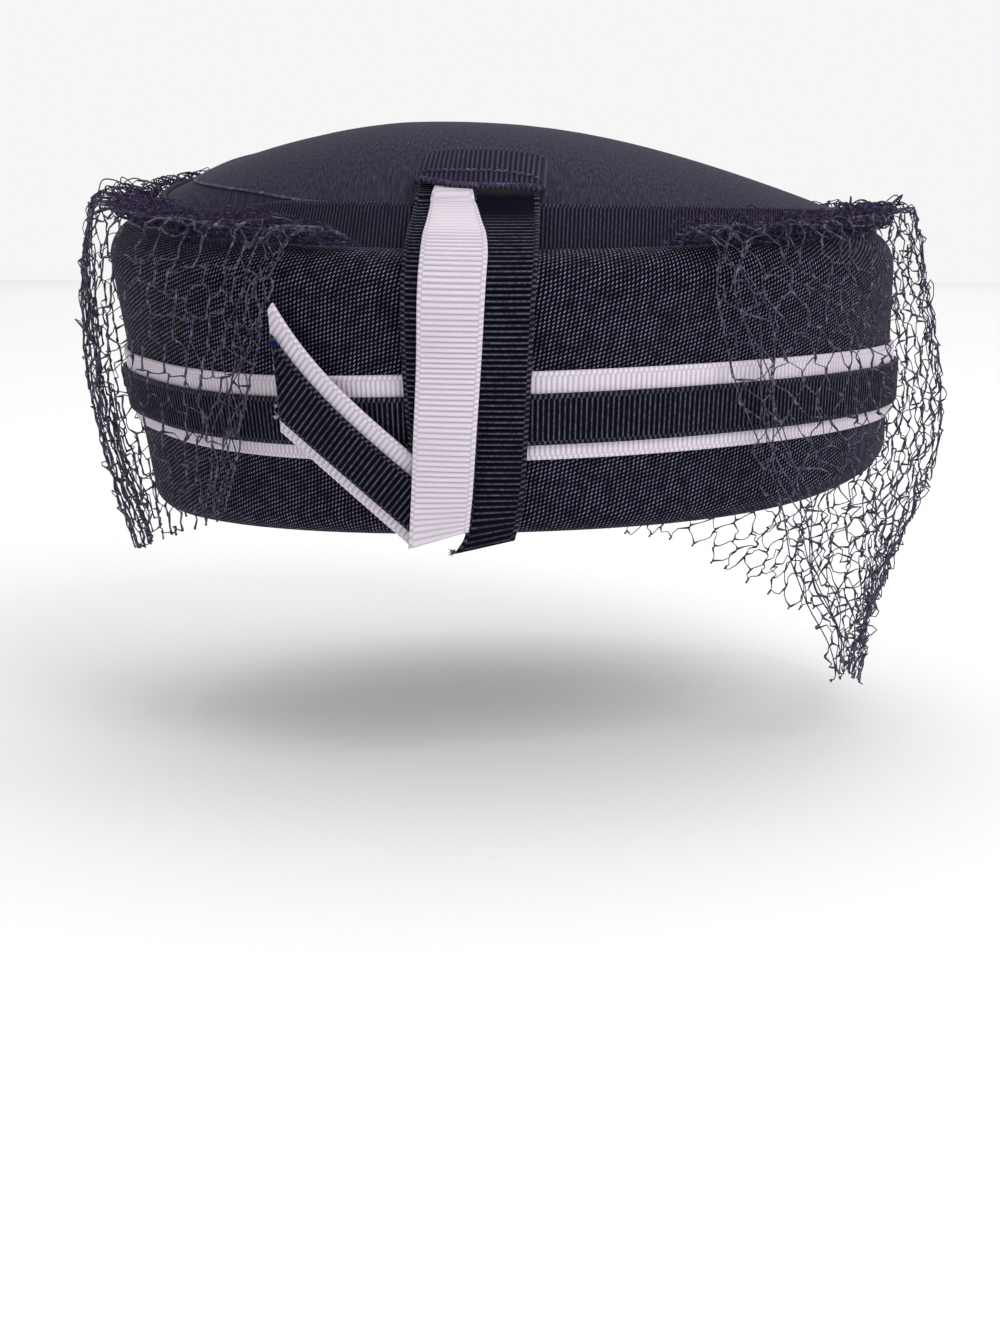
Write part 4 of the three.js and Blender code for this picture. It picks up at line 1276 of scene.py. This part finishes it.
    def tuft(self, place: Ends, off: float, spread: float, count: int, seed: int) -> list[Strand]:
        """Frayed threads at a cut edge.

        Args:
            place: Where it grows, to the side and up, in millimetres.
            off: How far off the cuff's cloth.
            spread: How far its threads reach, in millimetres.
            count: How many threads.
            seed: The seed of its chance.

        Returns:
            The threads.
        """
        chance = np.random.default_rng(seed)
        root = FORM.front_point(np.array(place[0] * MM), np.array(place[1] * MM), off)
        reach = spread * MM
        threads = []
        for _ in range(count):
            begin = root + chance.normal(0, reach * 0.35, 3) * np.array([0.5, 0.25, 1])
            aim = np.array([-1.0, -0.35, 0.0]) + chance.normal(0, 0.7, 3)
            bend = chance.normal(0, 0.5, 3)
            share = np.linspace(0, 1, 8)[:, None]
            path = begin + reach * (share * aim + share**2 * bend)
            threads.append(Strand(path, np.linspace(1, 0.5, len(share))))
        return threads

    def build_frays(self) -> None:
        """Builds the frayed threads at the tail's cut end and at the right leg's tip."""
        top = self.leg_off + 2.9 * self.layer_step
        blue = self.tuft((-43.1, 44.6), top, 0.75, 60, 3)
        blue += self.tuft((-43.1, 41.0), top, 0.4, 26, 4) + self.tuft((-43.1, 37.0), top, 0.35, 20, 14)
        dress(thread_piece("blue_frayed_threads", blue, 0.08 * MM), BLUE_FRAY, Slot.NAVY)
        under = top - self.layer_step
        white = self.tuft((-45.3, 27.5), under, 0.45, 24, 5) + self.tuft((-45.3, 30.0), under, 0.3, 14, 6)
        dress(thread_piece("white_frayed_threads", white, 0.07 * MM), WHITE_FRAY, Slot.WHITE)
        knot = self.tuft((-4.0, -3.2), self.leg_off + 0.5 * MM, 0.6, 50, 7)
        dress(thread_piece("right_leg_frayed_knot", knot, 0.09 * MM), STITCH, Slot.NAVY)

    def build(self) -> None:
        """Builds the ornament's pieces."""
        self.build_uprights()
        self.build_keeper()
        self.build_tail()
        self.build_frays()


VEIL_SECTIONS = table(
    "way puff bulge waist tuck drop",
    (0, 0.1, 0.3, 0.2, -0.3, 0.92),
    (0.12, 0.25, 0.6, 0.05, -0.45, 1),
    (0.26, 0.35, 0.85, 0.2, -0.2, 0.92),
    (0.5, 0.5, 0.7, 0.55, 0.2, 0.8),
    (0.7, 0.55, 0.5, 0.2, -0.2, 0.76),
    (0.85, 0.5, 0.45, 0.1, -0.35, 0.71),
    (1, 0.25, 0.25, 0.1, 0, 0.54),
)


@dataclass
class Veil:
    """The net veil: its hanging mesh of knotted thread, and the gathers that it hangs from.

    Its cloth runs from the roll over the shoulder to its bulge, its waist and its hem. The places are how
    far down those lie, and the runs are the lengths of net that reach them, both for the hanging part as
    shares of its height.
    """

    length: float = 122 * MM
    flare: float = 16 * MM
    fold_depth: float = 2.4 * MM
    folds: int = 7
    roll_half_width: float = 5 * MM
    roll_half_height: float = 2.2 * MM
    roll_inset: float = 5.9 * MM
    roll_run: float = 8 * MM
    shoulder_run: float = 18 * MM
    bulge_place: float = 0.45
    waist_place: float = 0.75
    bulge_run: float = 0.41
    waist_run: float = 0.71
    front_right: float = 28
    front_left: float = 343
    sweep_right: float = 34
    sweep_left: float = 19
    sweep_power: float = 2.6
    thread: float = 0.16 * MM
    gathered_thread: float = 0.176 * MM
    columns: int = 76
    row_pitch: float = 5 * MM
    gathered_threads: int = 230
    stray_threads: int = 190
    edge_threads: int = 5
    ladder_start: float = 0.6
    ladder_blend: float = 0.2
    ladder_stretch: float = 0.45
    ladder_stagger: float = 0.12
    spare: float = 20 * MM
    least_depth: float = 0.6 * MM
    link_slack: float = 0.06
    link_thickness: tuple[float, ...] = (2.2, 1.4, 2.2)
    cell_slack: float = 0.13
    cell_thickness: tuple[float, ...] = (2.2, 1.0, 0.9, 1.0, 2.2)
    chance: np.random.Generator = field(default_factory=lambda: np.random.default_rng(11))

    def surface(self, way: Array, fall: Array) -> Array:
        """The veil's cloth.

        Args:
            way: From its right front edge round the back to its left front edge, 0 to 1.
            fall: From its top to its hem, 0 to 1.

        Returns:
            The points.
        """
        way, fall = np.broadcast_arrays(np.asarray(way, float), np.asarray(fall, float))
        start = self.front_right + self.sweep_right * fall**self.sweep_power
        azimuth = mix(start, self.front_left - self.sweep_left * fall, way)
        puff, bulge, waist, tuck, drop = VEIL_SECTIONS.values(way)
        top = FORM.top_height(azimuth)
        hem = top - self.length * drop
        rows = [
            (-self.roll_inset, top + FORM.clearance + self.roll_half_height),
            (self.flare * puff * 0.6, top + self.roll_half_height * 2),
            (self.flare * puff, top - FORM.shoulder_radius * 0.6),
            (self.flare * bulge, mix(top, hem, self.bulge_place)),
            (self.flare * waist, mix(top, hem, self.waist_place)),
            (self.flare * tuck, hem),
        ]
        section = smooth_curve(np.array([stacked(out, height) for out, height in rows]), fall)
        fold = self.fold_depth * np.sin(2 * np.pi * self.folds * way) * np.minimum(1, fall * 3)
        return FORM.cuff_point(azimuth, -section[..., 0] - fold, section[..., 1])

    def fall_at(self, way: float, depth: float) -> float:
        """How far towards the hem a length of net reaches, 0 to 1, and over 1 where it is past the hem."""
        hang = self.length * float(VEIL_SECTIONS.value("drop", way))
        below = [self.shoulder_run + share * hang for share in (0, self.bulge_run, self.waist_run, 1)]
        marks = np.array([0, self.roll_run, *below])
        return float(np.interp(depth, marks, np.linspace(0, 1, 6))) + max(0.0, depth - marks[-1]) / hang

    def strand(self, ends: tuple[Array, Array], slack: float, thickness: tuple[float, ...]) -> Strand:
        """One thread of the net between two knots, thick where it is knotted.

        Args:
            ends: The way and fall of its two ends.
            slack: How far it wanders, as a share of its length.
            thickness: Its thickness at even steps along it.

        Returns:
            The thread.
        """
        share = np.linspace(0, 1, len(thickness))[:, None]
        path = mix(*ends, share)
        points = self.surface(path[:, 0], path[:, 1])
        reach = np.linalg.norm(points[-1] - points[0])
        sway = self.chance.normal(0, slack * reach, 3)
        turn = self.chance.normal(0, slack * reach * 0.6, 3)
        points = points + np.sin(np.pi * share) * sway + np.sin(2 * np.pi * share) * turn
        return Strand(points, np.array(thickness))

    def knots(self) -> dict[tuple[int, int], tuple[Array, Array]]:
        """The two ends of each upright link, of cells that draw out to a ladder towards the left edge."""
        knots = {}
        for row in range(math.ceil((self.length + self.spare) / self.row_pitch) + 1):
            for column in range(self.columns + 1):
                past = (column / self.columns - self.ladder_start) / self.ladder_blend
                ladder = float(np.clip(past, 0, 1))
                stagger = mix(0.5, self.ladder_stagger, ladder) * (row % 2)
                place = min(1.0, (column + stagger) / self.columns)
                way = place + 0.15 * place**2 * (1 - place)
                pitch = self.row_pitch * (1 + self.ladder_stretch * ladder)
                shift, drift = self.chance.normal(0, 1, 2) * (0.2 / self.columns, 0.15 * pitch)
                link = (0.1 + 0.3 * min(1.0, way * 1.2) + 0.35 * ladder) * pitch
                middle = row * pitch + drift
                upper, lower = (
                    self.fall_at(way, max(self.least_depth, middle + part * link)) for part in (-0.5, 0.5)
                )
                if upper > 1:
                    continue
                way = float(np.clip(way + shift, 0, 1))
                knots[column, row] = np.array([way, upper]), np.array([way, min(1.0, lower)])
        return knots

    def net_strands(self) -> list[Strand]:
        """The hanging net: its upright links, and the slanted threads between them."""
        knots = self.knots()
        strands = []
        for (column, row), (upper, lower) in knots.items():
            strands.append(self.strand((upper, lower), self.link_slack, self.link_thickness))
            side = column - 1 if row % 2 == 0 else column + 1
            for other in ((column, row + 1), (side, row + 1)):
                if other in knots:
                    ends = lower, knots[other][0]
                    strands.append(self.strand(ends, self.cell_slack, self.cell_thickness))
        return strands

    def edge_strands(self) -> list[Strand]:
        """The bunched threads along the veil's two front edges."""
        strands = []
        fall = np.linspace(0.05, 0.98, 60)
        for way in (0.0, 1.0):
            for _ in range(self.edge_threads):
                drift = self.chance.uniform(0, 0.02) * (1 if way == 0 else -1)
                sway = 0.004 * np.sin(fall * self.chance.uniform(20, 40) + self.chance.uniform(0, 6))
                path = self.surface(np.clip(way + drift + sway, 0, 1), fall)
                strands.append(Strand(path, np.ones(60)))
        return strands

    def roll_point(self, way: Array, across: Array, up: Array) -> Array:
        """A point in the gathered roll, across and up in shares of its half width and height."""
        start = self.front_right - 2
        azimuth = start + (self.front_left + 2 - start) * way
        swell = 0.2 + 0.8 * np.minimum(1, np.minimum(way, 1 - way) * 8) ** 0.8
        height = self.roll_half_height * swell
        middle = FORM.top_height(azimuth) + FORM.clearance + height
        inset = self.roll_inset - self.roll_half_width * swell * across
        return FORM.cuff_point(azimuth, inset, middle + height * up)

    def gathered_strands(self) -> list[Strand]:
        """Threads that wander along the roll and over each other."""
        strands = []
        share = np.linspace(0, 1, 36)
        for _ in range(self.gathered_threads):
            reach = self.chance.uniform(0.02, 0.07)
            start = self.chance.beta(0.55, 0.55) * (1 - reach)
            wander = []
            for size in (0.95, 1.15):
                phase, speed = self.chance.uniform(0, 2 * np.pi, 2), self.chance.uniform(2, 7, 2)
                slow, quick = (np.sin(speed[i] * share * beat + phase[i]) for i, beat in ((0, 2), (1, 5)))
                wander.append(size * (0.7 * slow + 0.5 * quick))
            path = self.roll_point(start + reach * share, wander[0], 0.2 + wander[1])
            strands.append(Strand(path, np.full(36, self.chance.uniform(0.85, 1.3))))
        return strands

    def stray_loops(self) -> list[Strand]:
        """Loops of the net that stand off the gathers near the veil's two ends."""
        strands = []
        share = np.linspace(0, 1, 18)
        arch, ripple = np.sin(np.pi * share)[:, None], np.sin(3 * np.pi * share)[:, None]
        for _ in range(self.stray_threads):
            near = self.chance.beta(1.1, 3.0) * 0.3
            way = near if self.chance.random() < 0.45 else 1 - near
            shift = self.chance.normal(0, 0.012)
            stand = self.chance.uniform(1.0, 5.5) * MM
            ways = way + shift * share
            root = self.roll_point(ways, np.full(18, self.chance.uniform(-0.4, 0.9)), np.full(18, 0.7))
            goal = self.surface(np.clip(ways, 0, 1), np.full(18, self.chance.uniform(0.06, 0.2)))
            path = mix(root, goal, (share**1.3)[:, None])
            outward = np.array([path[9, 0], path[9, 1], 0.0])
            outward /= np.linalg.norm(outward)
            sway = self.chance.normal(0, 0.5, 3) * MM
            path = path + arch * (stand * (0.55 * outward + 0.8 * UP) + sway)
            strands.append(Strand(path + ripple * self.chance.normal(0, 0.3, 3) * MM, np.ones(18)))
        return strands

    def build(self) -> None:
        """Builds the net and the gathers."""
        net = thread_piece("veil_net", self.net_strands() + self.edge_strands(), self.thread)
        dress(net, NET, Slot.NET, "veil")
        gathers = self.gathered_strands() + self.stray_loops()
        dress(thread_piece("veil_gathers", gathers, self.gathered_thread), GATHERS, Slot.NET)


@dataclass(frozen=True)
class Light:
    """A soft square light that faces the hat."""

    name: str
    place: tuple[float, float, float]
    size: float
    power: float


@dataclass
class Studio:
    """The floor, the lights and the camera at the photo's angle."""

    floor_height: float = -60 * MM
    distance: float = 655 * MM
    eye_height: float = 80 * MM
    turn: float = math.radians(4)
    pitch: float = math.radians(11.3)
    focal_pixels: float = 2400
    frame_height: int = 1333
    middle_pixels: float = 2.5
    target: tuple[float, float, float] = (0, 0, 0.03)
    lights: tuple[Light, ...] = (
        Light("key", (0.75, -1.1, 1.1), 0.8, 11.5),
        Light("fill", (-0.9, -1.2, 0.5), 1.2, 1.5),
        Light("top", (0.1, 0.7, 1.5), 1.2, 5),
        Light("backdrop", (0, 2.4, 1.6), 2.5, 14),
    )

    def hold(self, name: str, data: bpy.types.ID, place: tuple[float, ...], aim: Vector) -> Piece:
        """Puts a camera or a light at a place, aimed along a direction."""
        holder = bpy.data.objects.new(name, data)
        bpy.context.scene.collection.objects.link(holder)
        holder.location = place
        holder.rotation_euler = aim.to_track_quat("-Z", "Y").to_euler()
        return holder

    def build_camera(self) -> None:
        """Sets up the camera."""
        camera = bpy.data.cameras.new("camera")
        camera.sensor_width = 36
        camera.lens = self.focal_pixels / self.frame_height * camera.sensor_width
        camera.shift_x = -self.middle_pixels / self.frame_height
        camera.clip_start, camera.clip_end = 0.01, 20
        side, ahead, level = math.sin(self.turn), math.cos(self.turn), math.cos(self.pitch)
        place = (self.distance * side, -self.distance * ahead, self.eye_height)
        aim = Vector((-side * level, ahead * level, -math.sin(self.pitch)))
        bpy.context.scene.camera = self.hold("camera", camera, place, aim)

    def build_lights(self) -> None:
        """Adds the lights."""
        for light in self.lights:
            lamp = bpy.data.lights.new(light.name, "AREA")
            lamp.size = light.size
            lamp.energy = light.power
            self.hold(light.name, lamp, light.place, Vector(self.target) - Vector(light.place))

    def build_floor(self) -> None:
        """Adds a pale floor."""
        bpy.ops.object.select_all(action="DESELECT")
        bpy.ops.mesh.primitive_plane_add(size=6, location=(0, 0, self.floor_height))
        floor = bpy.context.object
        floor.name = "studio_floor"
        material = bpy.data.materials.new("pale_floor")
        material.use_nodes = True
        shader = material.node_tree.nodes["Principled BSDF"]
        for name, value in (
            ("Base Color", (0.8, 0.8, 0.8, 1)),
            ("Emission Color", (1, 1, 1, 1)),
            ("Emission Strength", 0.16),
            ("Roughness", 0.9),
            ("Specular IOR Level", 0.1),
        ):
            shader.inputs[name].default_value = value
        floor.data.materials.append(material)

    def build_world(self) -> None:
        """Lights the surroundings, brighter behind the hat and at its right."""
        world = bpy.data.worlds.new("studio")
        world.use_nodes = True
        background = world.node_tree.nodes["Background"]
        background.inputs["Color"].default_value = (1, 1, 1, 1)
        sheet = NodeSheet(world.node_tree)
        x, y = sheet.parts(sheet.place("Generated"))
        bright_side = sheet.ramp(sheet.scale(x, 0.7, y), -0.7, 0.7)
        sheet.join(sheet.scale(bright_side, 0.5, 0.42), background.inputs["Strength"])
        bpy.context.scene.world = world
        bpy.context.scene.view_settings.view_transform = "Standard"

    def build(self) -> None:
        """Builds the studio."""
        self.build_camera()
        self.build_floor()
        self.build_world()
        self.build_lights()


def main() -> None:
    """Builds the hat's pieces in order, then the studio."""
    logging.basicConfig(level=logging.INFO, format="%(name)s: %(message)s")
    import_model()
    Cuff().build()
    Crown().build()
    Trim().build()
    Ornament().build()
    Veil().build()
    Studio().build()


if __name__ == "__main__":
    main()
